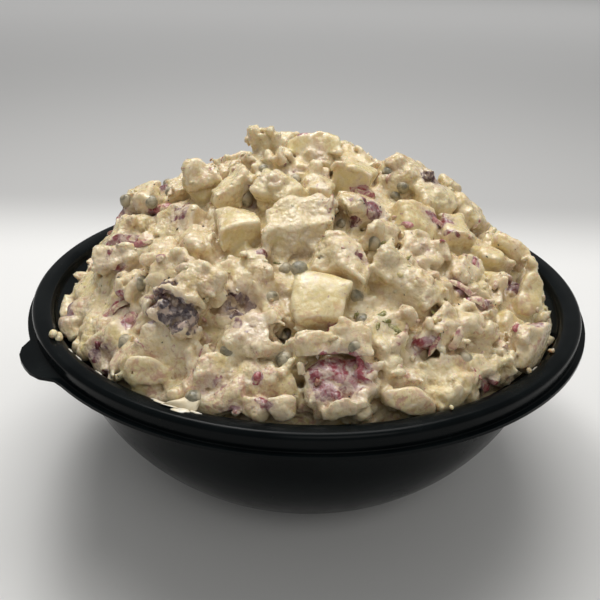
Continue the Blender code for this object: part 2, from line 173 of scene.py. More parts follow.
# Patches where red potato skin or red onion shows through the dressing: the photograph's pixel,
# half length and half width in millimetres, turn in the picture in degrees, strength, and how
# far the colour leans from crimson (0) to purple-grey (1)
SKINS = {
    "onion_left": (163, 208, 8, 5, 10, 1.0, 0.1),
    "onion_left_mauve": (180, 212, 7, 6, -40, 0.7, 0.5),
    "left_top": (122, 242, 12, 4, 10, 0.8, 0.35),
    "left_top_face": (116, 262, 11, 8, -10, 0.5, 0.4),
    "left_pink": (117, 306, 8, 3, 20, 1.0, 0.1),
    "left_pink_low": (130, 320, 5, 5, 60, 0.8, 0.3),
    "dark_skin": (177, 314, 9.5, 7.2, -35, 1.0, 0.95),
    "beside_dark": (154, 299, 4, 3, 40, 0.8, 0.2),
    # The two lower-left patches are partly painted shade: mauve darkening where the heap's lower left lies
    # in shadow, over the skin colour
    "lower_left_wash": (108, 361, 10, 6, -60, 0.6, 0.55),
    "lower_left_deep": (94, 355, 6, 3, -60, 0.8, 0.6),
    "purple_skin": (238, 306, 9, 8, -50, 0.75, 0.85),
    "mauve_veil": (247, 326, 11, 8, -50, 0.5, 0.6),
    "purple_upper": (264, 252, 4, 2, 0, 0.9, 0.5),
    "top_left": (249, 196, 7, 4, -60, 0.85, 0.55),
    "top_middle": (290, 171, 7, 2, 0, 0.6, 0.3),
    "top_right": (329, 176, 6, 2, 25, 0.6, 0.35),
    "crown_grey": (315, 150, 6, 5, -60, 0.5, 0.7),
    "crown_pink": (306, 131, 5, 2, 15, 0.6, 0.2),
    "crimson_centre": (364, 194, 7, 4, -15, 1.0, 0.08),
    "mauve_centre": (370, 206, 9, 5, -20, 0.85, 0.4),
    "centre_line": (331, 202, 6, 1.2, 80, 0.9, 0.2),
    "centre_dark": (354, 222, 3, 3, 60, 0.9, 0.6),
    "middle_mauve": (361, 256, 6, 2.5, -20, 0.7, 0.6),
    "right_tints": (423, 249, 5, 4, 0, 0.5, 0.1),
    "purple_right": (437, 222, 9, 4, -25, 0.85, 0.3),
    "purple_right_top": (452, 232, 5, 2, -20, 0.8, 0.4),
    "right_streak": (475, 263, 4, 2, 80, 0.8, 0.15),
    "mauve_right": (462, 288, 9, 3, -45, 0.85, 0.4),
    "mauve_right_low": (478, 300, 6, 4, -30, 1.0, 0.3),
    "dark_red": (425, 347, 6, 4, 35, 0.9, 0.15),
    "dark_red_low": (487, 385, 6, 5, -50, 1.0, 0.1),
    "right_edge": (532, 325, 5, 3, -25, 0.9, 0.4),
    "right_edge_low": (546, 336, 4, 3, 50, 0.8, 0.4),
    "red_skinned": (341, 369, 14, 7, 8, 1.0, 0.14),
    "red_skinned_face": (338, 384, 15, 9, 0, 0.55, 0.3),
    "red_skinned_left": (318, 380, 4, 7, 20, 0.85, 0.35),
    "red_skinned_low": (336, 391, 11, 4, 10, 0.8, 0.35),
    "front_drop": (257, 378, 3, 2, 80, 0.9, 0.1),
    "front_left_pink": (215, 385, 7, 4, 30, 0.55, 0.25),
    "front_mauve": (262, 405, 7, 3, 0, 0.6, 0.3),
    "low_centre": (232, 410, 5, 2, 0, 0.7, 0.2),
}

# More patches on the sides that the photograph doesn't show, and how each patch fades
MORE_SKINS = 34
SKIN_LENGTHS = (4, 12)
SKIN_WIDTHS = (0.35, 0.8)
SKIN_STRENGTHS = (0.6, 1)
SKIN_DEPTH = 7
SKIN_MARGIN = 2
AWAY_LEAN = 0.006
SKIN_FADE = (1.9, 1.4)

# Pieces that the solids only have as part of a larger one: pixel, length, width and height in
# millimetres, turn in the picture in degrees, the share of the height that is sunk, and whether
# the dressing coats it; the small blocks along the rim keep clear of the high ones
HIGH = 0.08
DEEP = 0.16
EXTRA = {
    "dark_skinned": (177, 313, 21, 17, 16, -35, DEEP, "coated"),
    "crown_front": (287, 172, 34, 18, 15, 4, DEEP, "coated"),
    "left_ledge": (168, 372, 34, 12, 9, -12, DEEP, "bare"),
    "low_left_lump": (215, 372, 20, 15, 12, 10, DEEP, "coated"),
    "right_slab": (526, 298, 13, 25, 12, -15, HIGH, "bare"),
    "right_back": (512, 250, 24, 13, 12, -42, DEEP, "bare"),
    "crown_top": (314, 146, 26, 16, 14, 6, DEEP, "bare"),
    "right_cube_top": (522, 349, 27, 20, 17, -8, HIGH, "coated"),
    "front_pale": (285, 405, 17, 12, 10, 0, HIGH, "coated"),
    "front_right_pale": (405, 401, 22, 12, 11, 5, HIGH, "bare"),
    "top_cube": (202, 175, 17, 13, 10, -5, HIGH, "coated"),
    "beside_slab": (394, 375, 12, 7, 7, 20, DEEP, "coated"),
    "slab": (327, 347, 34, 13, 10, 10, HIGH, "coated"),
    "left_round": (85, 283, 20, 19, 17, 20, DEEP, "coated"),
    "left_small": (127, 287, 14, 12, 12, 0, DEEP, "coated"),
    "left_pink_block": (114, 320, 18, 14, 14, -15, DEEP, "coated"),
    "left_top_block": (119, 257, 22, 12, 12, 8, DEEP, "coated"),
    "left_hump": (172, 272, 17, 15, 13, 30, DEEP, "coated"),
    "left_hump_right": (200, 280, 16, 17, 13, 80, HIGH, "coated"),
    "right_tip": (548, 334, 13, 9, 9, 40, DEEP, "coated"),
    "left_finger": (90, 303, 17, 7, 9, 75, DEEP, "coated"),
    "left_low_round": (72, 325, 13, 11, 11, 10, DEEP, "coated"),
    "left_mauve": (103, 356, 21, 12, 10, -60, DEEP, "coated"),
    "front_left_low": (172, 392, 15, 11, 9, -10, DEEP, "coated"),
    "front_left_lump": (222, 398, 13, 10, 9, 10, DEEP, "coated"),
    "front_mauve_lump": (255, 402, 12, 9, 8, 0, DEEP, "coated"),
    "front_end": (452, 394, 17, 11, 9, 15, DEEP, "coated"),
}

# Dark pits between pieces: the photograph's pixel, width and depth
PITS = {
    "beside_slab": (284, 334, 8, 18),
    "over_cube": (322, 266, 4.5, 8),
    "by_red_skin": (299, 387, 4, 9),
    "crown": (288, 160, 5, 7),
    "right_low": (430, 352, 5, 9),
    "left_low": (119, 377, 5, 8),
}
PIT_FINE = 1.3
PIT_GRAIN = 1.2

# Places where the heap dips, away from the solids' mean form: place, radius and depth
DIPS = {
    "left_notch": (-42, 38, 38, 12),
    "shoulder_notch": (-66, 20, 26, 12),
    "right_notch": (32, 44, 34, 16),
    "left_slope": (-99, 10, 38, 18),
    "right_slope": (92, 14, 34, 7),
    "crown": (-2, 38, 32, 13),
    "right_back": (83, 34, 24, 10),
}

# How far a piece that the photograph shows is moved from its place in the solids
NUDGES = {
    "peak_nub": (-4, 0, 1),
    "peak_nub_small": (-7, 2, -1),
}

# Small pieces that stand upright on the crown: the pixel at the foot, width and height in
# millimetres and lean in degrees
NUBS = {
    "left": (254, 150, 6.4, 17, -6),
    "right": (268, 150, 6.8, 17, 7),
}
NUB_DEPTH = 1.4
NUB_TURN = 30

# The heap's upper outline in the photograph, from left to right, in pixels; the mass stands no
# more than the slack and its grain above it
OUTLINE = {
    "left_end": (58, 330),
    "left_low": (66, 283),
    "left_round": (76, 268),
    "left_round_top": (91, 259),
    "left_strip": (96, 243),
    "left_strip_end": (112, 236),
    "left_wall": (116, 226),
    "left_shoulder": (120, 200),
    "left_shoulder_top": (128, 189),
    "left_top": (145, 182),
    "left_cube_foot": (176, 178),
    "left_cube": (183, 162),
    "left_cube_top": (192, 156),
    "left_cube_end": (218, 160),
    "nubs_slope": (234, 152),
    "nubs_foot": (244, 144),
    "left_nub": (248, 126),
    "left_nub_end": (259, 124),
    "right_nub": (264, 122),
    "right_nub_end": (272, 124),
    "right_nub_foot": (275, 133),
    "crown_left": (292, 132),
    "crown_top": (311, 127),
    "crown_right": (327, 133),
    "crown_slope": (341, 140),
    "crown_end": (357, 146),
    "right_dip": (378, 162),
    "right_peak_foot": (388, 159),
    "right_peak": (398, 152),
    "right_peak_end": (412, 153),
    "right_step": (428, 171),
    "right_bump": (446, 169),
    "right_slope": (462, 190),
    "right_slope_low": (490, 219),
    "right_edge": (520, 240),
    "right_edge_low": (534, 257),
    "right_wall": (543, 290),
    "right_end": (556, 335),
}
OUTLINE_SLACK = 0.5
OUTLINE_GRAIN = 0.7

# Grid of the salad's field, in millimetres
VOXEL = 0.8
LOW = np.array([-118.0, -118.0, RIM_HEIGHT - 20.0])
SHAPE = tuple(int(span / VOXEL) for span in (236, 236, 94))
MARGIN = 6.0
FAR_OFF = 99.0
FLOOR_CLEARANCE = 1.6
MOST_TRIANGLES = 196000

# The solid under the mass that fills the bowl: its top, rings, steps round and distance to the
# wall's line
CORE_TOP = LOW[2] + 8
CORE_RINGS = 14
CORE_STEPS = 96
CORE_INSET = 0.15

# Blocks: how far they settle into the heap, how round and uneven they are by kind, what their
# cut planes leave, and how softly they meet
SETTLE = 2.0
FILLER_SETTLE = 3.0
ROUNDING = {"bare": 2.2, "coated": 2.6}
WARP = {"bare": 1.2, "coated": 1.3}
WARP_LENGTH = 11.0
EXTRA_WARP = 0.8
CUT_SHARES = (0.58, 0.84)
CHUNK_CUTS = 5
EXTRA_CUTS = 3
CHUNK_BLEND = 0.6
LUMP_BLEND = 0.35
CUT_BLEND = 0.6

# Dressing: where it thins on bare faces, and the seams between the blocks, whose depth changes
# by a mean, a spread, two limits and a length
BARE_DEPTH = 3.0
COAT_LENGTH = 10.0
COAT_PATCHES = (0.6, 0.9)
SEAM_WIDTH = 5.0
SEAM_DEPTH = 7.0
SEAM_PATCHES = (0.55, 0.45, 0.1, 1.4, 16.0)
SEAM_LEVELS = (126.0, 144.0)
SEAM_SHARES = (1.0, 0.55)
SHRINK = 0.9

# Small blocks along the rim: count, radii, share of the front's reach, sizes, length, how high
# they lie at most over the edge, and tilt; lengths, widths and heights are shares of the size
EDGE_BLOCKS = 84
EDGE_CRUMBS = 180
EDGE_PIECES = {
    "blocks": (EDGE_BLOCKS, (100, 107), 0.6, (7, 15), 1.0, 5, 0.6),
    "crumbs": (EDGE_CRUMBS, (103, 110), 1.0, (3.5, 9), 1.2, 6, 0.9),
}
EDGE_PIECE_WIDTHS = (0.7, 1.0)
EDGE_PIECE_HEIGHTS = (0.6, 0.9)
EDGE_PIECE_LOWEST = -1
EDGE_ROUNDING = 0.3
EDGE_WARP = 1.5
CLEAR_OF_HIGH = 17.0
FRONT_REACH = 6.0
FRONT_SPREAD = 1.5
FRONT_RISE = 3.5

# Lumps of dressing on the chunks: count, sizes, rounding as a share of the size, and how their
# number changes with the height
LUMPS = 3400
LUMP_SIZES = (1.6, 7.6)
LUMP_POWER = 2.1
LUMP_ROUNDING = 0.26
LUMP_WARP = 0.6
LUMP_CUT_SIZE = 3
LUMP_LEVELS = (128.0, 146.0)
LUMP_SHARES = (1.0, 0.65)
LUMP_LOWEST = RIM_HEIGHT - 13
LUMP_MARGIN = 4
LUMP_CREASES = (0.08, 3)
LUMP_SIDES = ((0.9, 0.75, 0.6), (1.25, 1.0, 0.85))
LUMP_TILT = 0.7
LUMP_LIFTS = (-0.4, 0.06)
BARE_LUMPS = 0.04

# Relief of the whole surface: heights and lengths of curds, grains and fine grains, how the
# grains change from place to place, and the share of the relief on bare faces
CURD = 0.9
CURD_LENGTH = 6.2
GRAIN = 0.72
GRAIN_LENGTH = 3.4
FINE = 0.24
FINE_LENGTH = 2.0
ROUGH_PATCHES = (0.95, 0.6, 0.2, 1.7, 22.0)
BARE_RELIEF = 0.4
NOISE_MEAN = 0.8
PINHOLE = 0.8
PINHOLE_REACH = 3

# How many voxels round a place count for its fine and its broad painted shade and ridge highlight and
# for the number of lumps there, and how far inside the surface the block that it belongs to is looked up
FINE_SHADE = 2
BROAD_SHADE = 6
LUMP_SHADE = 4
OWNER_DEPTH = 0.6

# Capers that the photograph shows, by their pixel
CAPERS = {
    "left_edge": (124, 199),
    "left_shoulder": (150, 201),
    "left_upper": (168, 190),
    "crown": (263, 167),
    "crown_left": (247, 196),
    "pair_left": (286, 266),
    "pair_right": (298, 269),
    "beside_purple": (271, 295),
    "low_left": (226, 352),
    "under_cube": (284, 358),
    "pale_right": (362, 317),
    "right_of_cube": (357, 294),
    "centre_right": (374, 241),
    "centre_dark": (342, 223),
    "right_back": (388, 170),
    "right_peak": (395, 194),
    "right_peak_up": (404, 185),
    "lower_left": (123, 342),
    "left_middle": (141, 282),
    "on_slab": (355, 346),
    "right_low": (467, 357),
    "front_left": (192, 399),
    "crown_right": (294, 178),
}
CAPER_SINK = 1.9
CAPER_RADII = (2.9, 3.4)
CAPER_SIDES = ((0.94, 0.9, 0.94), (1.05, 1.0, 1.05))

# More capers, on the sides and the back, below a height and behind a line across the heap
MORE_CAPERS = 26
MORE_CAPER_RADII = (2.7, 3.3)
MORE_CAPER_LIFTS = (-1, 0.8)
CAPER_CREASES = (0.4, 3)
CAPER_TOP = 130.0
CAPER_FRONT = 36.0

# Strips of red onion that the photograph shows: pixel, length and width in millimetres, turn
# in the picture, and how pale
STRIPS = {
    "left_top": (138, 244, 13, 3.5, 8, 0.35),
    "left_pink": (117, 306, 13, 4.5, 20, 0.1),
    "left_pink_low": (130, 320, 8, 6, 60, 0.4),
    "onion_left": (162, 207, 9, 6, 0, 0.0),
    "crimson_centre": (365, 193, 10, 6, -15, 0.05),
    "centre_line": (331, 203, 9, 1.8, 80, 0.2),
    "purple_right": (437, 221, 11, 4.5, -25, 0.35),
    "mauve_right": (463, 287, 13, 3.5, -45, 0.5),
    "mauve_right_low": (480, 300, 8, 5, -30, 0.3),
    "dark_red_low": (487, 384, 8, 5, -50, 0.0),
    "right_streak": (475, 263, 6, 2.5, 80, 0.2),
    "front_drop": (257, 378, 5, 2.5, 80, 0.1),
    "beside_dark": (154, 299, 7, 3, 40, 0.3),
}
MORE_STRIPS = 60
MORE_STRIP_LENGTHS = (4, 11)
MORE_STRIP_WIDTHS = (1.8, 4.0)
MORE_STRIP_SINK = 0.4
MORE_STRIP_HUES = (0, 0.8)
STRIP_LIFT = 0.3
STRIP_THICKNESS = (1.0, 1.6)
STRIP_CURLS = (0.2, 1.6)
STRIP_TILT = 0.3
STRIP_ROWS = 13
STRIP_ACROSS = 7

# Grains spread over the heap: the lowest and highest places that they take, how their dents are
# spaced, their count and sizes, and where they lie
GRAIN_LOWEST = RIM_HEIGHT - 4
GRAIN_TOP = 150.0
WALL_MARGIN = 3
DENT_WAVES = (1.6, 2.9)
CRUMBLE = 700
CRUMBLE_SIZES = (0.5, 1.9)
CRUMBLE_POWER = 2.5
CRUMBLE_SIDES = ((0.8, 0.6, 0.5), (1.3, 1.0, 0.8))
CRUMBLE_CREASES = (0.3, 4)
CRUMBLE_SINKS = (0.0, 0.5)
CRUMBLE_DENTS = 0.3
LESS_ON_BARE = 0.85
SKINNED_SHARE = 0.06

# Small bits on the heap: count and sizes, then how uneven, sunk and thick they are, by their size
BITS = {
    "pepper_specks": (170, (0.6, 1.3), 0.2, -0.1, 0.6),
    "pink_bits": (150, (1.4, 4.6), 0.22, 0.1, 0.6),
    "herb_bits": (40, (1.2, 3.2), 0.25, -0.05, 0.3),
}
BIT_POWER = 2

# Herb bits that the photograph shows: pixel, length and width in millimetres, turn
HERBS = {
    "by_caper": (382, 315, 7.0, 3.0, 50),
    "by_caper_low": (394, 328, 8.0, 2.8, -35),
    "by_caper_right": (387, 321, 4.2, 2.0, 10),
    "by_caper_left": (378, 326, 3.6, 1.8, 70),
    "caper_stem": (277, 263, 3.4, 1.1, -15),
    "pickle": (385, 243, 4.6, 2.4, -20),
}
HERB_LIFT = 0.2
HERB_THICKNESS = 0.7
HERB_CURLS = (0.1, 0.6)
HERB_TILT = 0.4

# What lies on the rim, by its angle in degrees: smears with length, width and place across the
# rim's inner edge in millimetres, and crumbs with half size and place
SMEARS = {
    # The three thin left lines are dressing smears and partly a painted glint along the rim's inner edge
    "left_start": (-140.5, 4, 0.6, -1.9),
    "left_middle": (-137.0, 4, 0.5, -2.1),
    "left_end": (-130.0, 4, 0.5, -2.2),
    "front_pool": (-113.2, 9, 3.4, -0.2),
    "front_pool_side": (-110.2, 7, 2.6, 0.9),
    "front_tail": (-107.6, 4, 1.2, 0.2),
    "front_back": (-115.6, 4, 1.4, -1.2),
    "right_up": (-33.0, 4, 1.0, -2.0),
    "right_low": (-41.6, 3, 0.6, -2.2),
}
RIM_CRUMBS = {
    "left_crumb": (-146.3, 2.5, 0.6),
    "left_crumb_side": (-145.6, 1.8, -0.3),
    "left_crumb_small": (-147.0, 1.3, 1.2),
    "front_drop": (-64.6, 1.0, -0.4),
    "right_bit": (-34.0, 1.3, -1.8),
    "right_bit_low": (-43.6, 1.5, -2.2),
}
RIM_CRUMB_LIFT = 0.55
RIM_CRUMB_SIDES = ((0.9, 0.8, 0.6), (1.15, 1.0, 0.8))
SMEAR_DROPS = 2
SMEAR_THICKNESS = 0.3
FLAKE = (-110.6, 13.0, 8.5, -0.6)
FLAKE_LIFT = 2.6
FLAKE_THICKNESS = 0.8
FLAKE_CURL = 0.4

# The rim's inner edge as (radius, height), and the way that the sheet runs up to it
RIM_EDGE = (121.1, 92.42)
RIM_SLOPE = (0.885, 0.465)

# Colours, as linear red, green and blue
CREAM = (0.69, 0.58, 0.385)
CREAM_WARM = (0.63, 0.515, 0.31)
POTATO = (0.69, 0.59, 0.345)
POTATO_DEEP = (0.62, 0.50, 0.235)
PINK = (0.50, 0.29, 0.22)
CRIMSON = (0.30, 0.055, 0.07)
MAUVE = (0.39, 0.22, 0.22)
ONION_PALE = (0.48, 0.28, 0.24)
MAUVE_CREAM = (0.54, 0.425, 0.35)
PURPLE_GREY = (0.042, 0.036, 0.042)
PURPLE_PALE = (0.185, 0.15, 0.145)
# Painted shade: warm brown mixed into the dressing in creases and hollows
CREVICE = (0.36, 0.235, 0.105)
# Pale cream: the dressing's own paler patches, smears and flakes, and the painted highlight on ridges
RIDGE = (0.735, 0.65, 0.475)
TAN = (0.52, 0.37, 0.19)
PINK_FLESH = (0.42, 0.22, 0.16)
PINK_PALE = (0.58, 0.43, 0.32)
HERB = (0.27, 0.25, 0.07)
HERB_DARK = (0.13, 0.13, 0.04)
CAPER = (0.20, 0.19, 0.13)
CAPER_DARK = (0.09, 0.085, 0.058)
SMEAR = (0.60, 0.58, 0.52)
CAPER_FILM = (0.46, 0.40, 0.28)
PEPPER_COLOUR = (0.02, 0.017, 0.014)
PEPPER_PALE = (0.07, 0.055, 0.04)
PLASTIC = (0.0015, 0.0025, 0.003)
PLASTIC_PALE = (0.003, 0.0045, 0.005)

# Plain looks: two colours, the length of the noise that mixes them, roughness, relief, and how
# far a film of dressing covers them
PLAIN_LOOKS = {
    "pepper": (PEPPER_COLOUR, PEPPER_PALE, 0.5, 0.5, 0.3, None),
    "pink_flesh": (PINK_FLESH, PINK_PALE, 1.6, 0.35, 0.5, 0.7),
    "herb": (HERB, HERB_DARK, 0.9, 0.4, 0.3, 0.6),
    "herb_leaf": (HERB, HERB_DARK, 0.9, 0.35, 0.3, 0.5),
    "smear": (SMEAR, RIDGE, 2.0, 0.3, 0.2, None),
    "flake": (RIDGE, CREAM, 3.0, 0.35, 0.3, None),
    "salad_inside": (CREAM, POTATO, 6.0, 0.4, 0.3, None),
}

# The camera, fitted to the rim and base in the photograph: lens and sensor in millimetres, place
# along Y and height over the bowl's base in metres, angles in radians
SENSOR = 36.0
CAMERA_LENS = 42.0
CAMERA_PLACE = (-0.3110, 0.2347)
CAMERA_PITCH = 0.4658
CAMERA_YAW = -0.0102
CAMERA_ROLL = 0.0233
CLIP_START = 0.01
PICTURE_SIDE = 600.0

# Where the rays of march start and end and how far they step, in millimetres from the eye
MARCH_START = 200.0
MARCH_END = 520.0
MARCH_STEP = 0.4

# A pixel in the middle of the heap; one that sees nothing is moved towards it in small shares
HEAP_PIXEL = (300.0, 310.0)
PIXEL_STEP = 0.01

# The floor, in metres: how far it runs aside, behind and in front, and where its colours change
# Painted light and shade: the floor is darker in front of the bowl, paler just behind it and grey far
# behind, in place of the light's fall-off
FLOOR_REACH = (7.0, 8.0, 4.0)
FLOOR_CHANGE = (-0.06, 0.17)
BEHIND_CHANGE = (0.22, 0.40)
FAR_CHANGE = (0.5, 1.6)
BEHIND_NEAR = (0.44, 0.44, 0.44)
BEHIND_FAR = (0.50, 0.50, 0.50)
FLOOR_NEAR = (0.67, 0.67, 0.665)
FLOOR_FAR = (0.74, 0.74, 0.735)
WORLD_COLOUR = (1.0, 1.0, 0.985)
WORLD_STRENGTH = 0.3

# Soft lights: place, aim, width and depth in metres, power in watts, colour
LIGHTS = {
    "overhead": ((-0.02, 0.28, 1.1), (0, 0.04, 0), (0.9, 0.7), 10.0, (1.0, 0.985, 0.96)),
    "glint": ((-0.22, 0.32, 0.95), (0, 0, 0.1), (0.22, 0.22), 1.8, (1.0, 0.99, 0.97)),
    "front_fill": ((0.3, -1.0, 1.05), (0, 0, 0.05), (0.8, 0.6), 3.1, (1.0, 0.985, 0.95)),
    "behind": ((0, 3.0, 2.4), (0, 3.05, 0), (6.0, 3.4), 42.0, (1.0, 0.99, 0.98)),
}
LIGHT_SPREAD = {"behind": radians(100)}


# The view

def camera_axes():
    """The view's directions across, up and ahead."""
    right = Vector((cos(CAMERA_YAW), -sin(CAMERA_YAW), 0))
    ahead = Vector((sin(CAMERA_YAW) * cos(CAMERA_PITCH), cos(CAMERA_YAW) * cos(CAMERA_PITCH),
                    -sin(CAMERA_PITCH)))
    up = right.cross(ahead)
    across = right * cos(CAMERA_ROLL) + up * sin(CAMERA_ROLL)
    upward = up * cos(CAMERA_ROLL) - right * sin(CAMERA_ROLL)
    return across, upward, ahead


VIEW = camera_axes()
VIEW_ACROSS, VIEW_UP, VIEW_AHEAD = VIEW
EYE = Vector((0, *CAMERA_PLACE)) / MM


def view_ray(x, y):
    """Direction from the eye through a pixel of the photograph."""
    scale = SENSOR / CAMERA_LENS / PICTURE_SIDE
    aside = (x - PICTURE_SIDE / 2) * scale
    above = (PICTURE_SIDE / 2 - y) * scale
    return (VIEW_AHEAD + VIEW_ACROSS * aside + VIEW_UP * above).normalized()


def picture_basis(normal, turn):
    """Columns: along a way turned in the picture, across it, and straight out of the surface."""
    along = VIEW_ACROSS * cos(turn) + VIEW_UP * sin(turn)
    along = (along - normal * along.dot(normal)).normalized()
    return Matrix((along, normal.cross(along), normal)).transposed()


# The bowl's lines and the mound

def offset_line(points, distance):
    """Moves an open line of (radius, height) points sideways, to its left, by distance."""
    moved = []
    for i, (r, z) in enumerate(points):
        before = points[max(i - 1, 0)]
        after = points[min(i + 1, len(points) - 1)]
        first = Vector((r - before[0], z - before[1]))
        second = Vector((after[0] - r, after[1] - z))
        first = first.normalized() if first.length else second.normalized()
        second = second.normalized() if second.length else first
        along = (first + second).normalized()
        stretch = 1 / max(along.dot(first), 0.6)
        moved.append((r - along.y * distance * stretch, z + along.x * distance * stretch))
    return moved


def body_line(steps):
    """Middle of the bowl's sheet from the flat base up to the neck, as (radius, height)."""
    half = SHEET / 2
    span = NECK_RADIUS - BASE_RADIUS
    rise = RIM_HEIGHT - SKIRT_DEPTH - half
    line = [(0.0, half)]
    for i in range(steps + 1):
        t = (i / steps) ** BODY_SPACING
        bulge = (1 - (1 - t) ** 2) ** BODY_CURVE
        line.append((BASE_RADIUS - half + span * bulge, half + rise * t))
    return line


def rim_line():
    """Middle of the sheet from the neck over the rim and down to the flange's edge."""
    half = SHEET / 2
    top = RIM_HEIGHT - half
    skirt = RIM_RADIUS - half
    low = RIM_HEIGHT - SKIRT_DEPTH + half
    return [
        (LEDGE[0] * RIM_RADIUS, RIM_HEIGHT - LEDGE[1]),
        (STEP_FOOT[0] * RIM_RADIUS, RIM_HEIGHT - STEP_FOOT[1]),
        (STEP_TOP[0] * RIM_RADIUS, RIM_HEIGHT - STEP_TOP[1]),
        (RIM_INNER_EDGE * RIM_RADIUS, top),
        (skirt - RIM_CORNER, top),
        (skirt, top - RIM_CORNER),
        (skirt, low),
        (FLANGE_RADIUS - half, low + FLANGE_LIFT),
    ]


WALL_LINE = offset_line(body_line(WALL_STEPS) + rim_line(), SHEET / 2 + GAP)[WALL_PART]


def wall_radius(height):
    """Largest radius that clears the bowl's inner face at each height."""
    return np.interp(height, [z for r, z in WALL_LINE], [r for r, z in WALL_LINE])


def clear_of_wall(points, margin):
    """Whether points are at least a margin inside the bowl's inner face."""
    return np.hypot(points[:, 0], points[:, 1]) < wall_radius(points[:, 2]) - margin


def mound_share(x, y):
    """0 at the peak and 1 at the heap's edge, along the line out from the peak."""
    dx = x - PEAK[0]
    dy = y - PEAK[1]
    square = dx * dx + dy * dy
    cross = 2 * (PEAK[0] * dx + PEAK[1] * dy)
    rest = PEAK[0] ** 2 + PEAK[1] ** 2 - EDGE_RADIUS ** 2
    return (-cross - np.sqrt(np.maximum(cross * cross - 4 * rest * square, 0))) / (2 * rest)


def mound_height(x, y, edge=EDGE_HEIGHT, rise=MOUND_HEIGHT):
    """Height of the smooth mound over a place in the plan."""
    share = np.clip(mound_share(x, y), 0, 1)
    return edge + rise * (1 - share ** MOUND_SPREAD) ** MOUND_ROUND


def mound_frame(x, y):
    """Point and outward normal of the mound over a place in the plan."""
    step = 2.0
    share = mound_share(x, y)
    pull = min(1.0, NEAR_EDGE / share) if share > 0 else 1.0
    x = PEAK[0] + (x - PEAK[0]) * pull
    y = PEAK[1] + (y - PEAK[1]) * pull
    slope_x = (mound_height(x + step, y) - mound_height(x - step, y)) / (2 * step)
    slope_y = (mound_height(x, y + step) - mound_height(x, y - step)) / (2 * step)
    return Vector((x, y, mound_height(x, y))), Vector((-slope_x, -slope_y, 1)).normalized()


def mound_basis(normal):
    """Columns: level across the slope, down or up the slope, and straight out of it."""
    across = Vector((0, 0, 1)).cross(normal)
    across = across.normalized() if across.length > 0.05 else Vector((1, 0, 0))
    return Matrix((across, normal.cross(across), normal)).transposed()


def turn_about(turned, **turns):
    """A rotation followed, in its own axes and in the order given, by turns about X, Y or Z."""
    for axis, angle in turns.items():
        turned = turned @ Matrix.Rotation(angle, 3, axis)
    return turned


def push_inward(centre, turned, size):
    """Shift towards the axis that brings a block's face middles clear of the bowl's wall."""
    push = 0.0
    for axis, side in product(range(3), (-0.5, 0.5)):
        p = centre + turned.col[axis] * size[axis] * side
        off = abs((atan2(p.y, p.x) - OPEN_ANGLE + pi) % (2 * pi) - pi)
        limit = float(wall_radius(p.z))
        if off < OPEN_HALF_ANGLE:
            limit = min(limit, OPEN_RADIUS)
        push = max(push, hypot(p.x, p.y) - limit)
    if push <= 0:
        return Vector((0, 0, 0))
    return Vector((-centre.x, -centre.y, 0)).normalized() * (push + WALL_SLACK)


def seat(spot, lift, size, turn, tilt):
    """Centre and rotation of a block seated on the mound, its top standing out by lift."""
    base, normal = mound_frame(*spot)
    turned = turn_about(mound_basis(normal), Z=turn, X=tilt)
    centre = base + normal * (lift - size[2] / 2)
    return centre + push_inward(centre, turned, size), turned


def random_size(sizes, power, rng, count=None):
    """Random sizes between two limits, more of them small as the power rises."""
    return sizes[0] + (sizes[1] - sizes[0]) * rng.uniform(0, 1, count) ** power


def spread(tries, rng, taken, reaches):
    """Even cover of the mound: random places, each kept where no earlier piece is too near."""
    for i in range(tries):
        radius = EDGE_RADIUS * sqrt(rng.uniform(0, 1)) * NEAR_EDGE
        angle = rng.uniform(-pi, pi)
        reach = reaches[0] + (reaches[1] - reaches[0]) * i / tries
        spot = mound_frame(radius * cos(angle), radius * sin(angle))[0]
        if all((spot - other).length > CLOSENESS * (reach + size) for other, size in taken):
            taken.append((spot, reach))
            yield spot.x, spot.y, reach


def chunk_list():
    """Every potato chunk as (centre, rotation, size, kind), in the same places as the solids.

    The draws that the solids spend on the chunks' uneven points are spent here too.
    """
    rng = np.random.default_rng(SEED)
    kinds = np.random.default_rng(KIND_SEED)
    chunks = []
    taken = []
    for x, y, lift, length, width, height, turn, kind in CHUNKS.values():
        rng.uniform(*UNEVEN, CHUNK_POINTS)
        tilt = rng.uniform(-CHUNK_TILT, CHUNK_TILT)
        size = (length, width, height)
        chunks.append((*seat((x, y), lift, size, radians(turn), tilt), size, kind))
        taken.append((mound_frame(x, y)[0], (length + width) / 4))
    for x, y, reach in spread(CHUNK_TRIES, rng, taken, CHUNK_REACHES):
        length = 2 * reach * rng.uniform(*FILLER_LENGTHS)
        size = (length, length * rng.uniform(*FILLER_WIDTHS), length * rng.uniform(*FILLER_HEIGHTS))
        lift = rng.uniform(*FILLER_LIFTS)
        turn = rng.uniform(0, pi)
        tilt = rng.uniform(-FILLER_TILT, FILLER_TILT)
        rng.uniform(*UNEVEN, FILLER_POINTS)
        kind = "bare" if kinds.uniform() < BARE_SHARE else "coated"
        chunks.append((*seat((x, y), lift, size, turn, tilt), size, kind))
    return chunks


# The salad's field

def spline_weights(count, wavelength):
    """Weights that spread a coarse row of values smoothly over count voxels."""
    place = np.arange(count) * VOXEL / wavelength
    base = np.floor(place).astype(int)
    t = place - base
    weights = np.zeros((count, base.max() + 4), np.float32)
    parts = (
        (1 - t) ** 3 / 6,
        (3 * t ** 3 - 6 * t ** 2 + 4) / 6,
        (-3 * t ** 3 + 3 * t ** 2 + 3 * t + 1) / 6,
        t ** 3 / 6,
    )
    for k, part in enumerate(parts):
        weights[np.arange(count), base + k] = part
    return weights


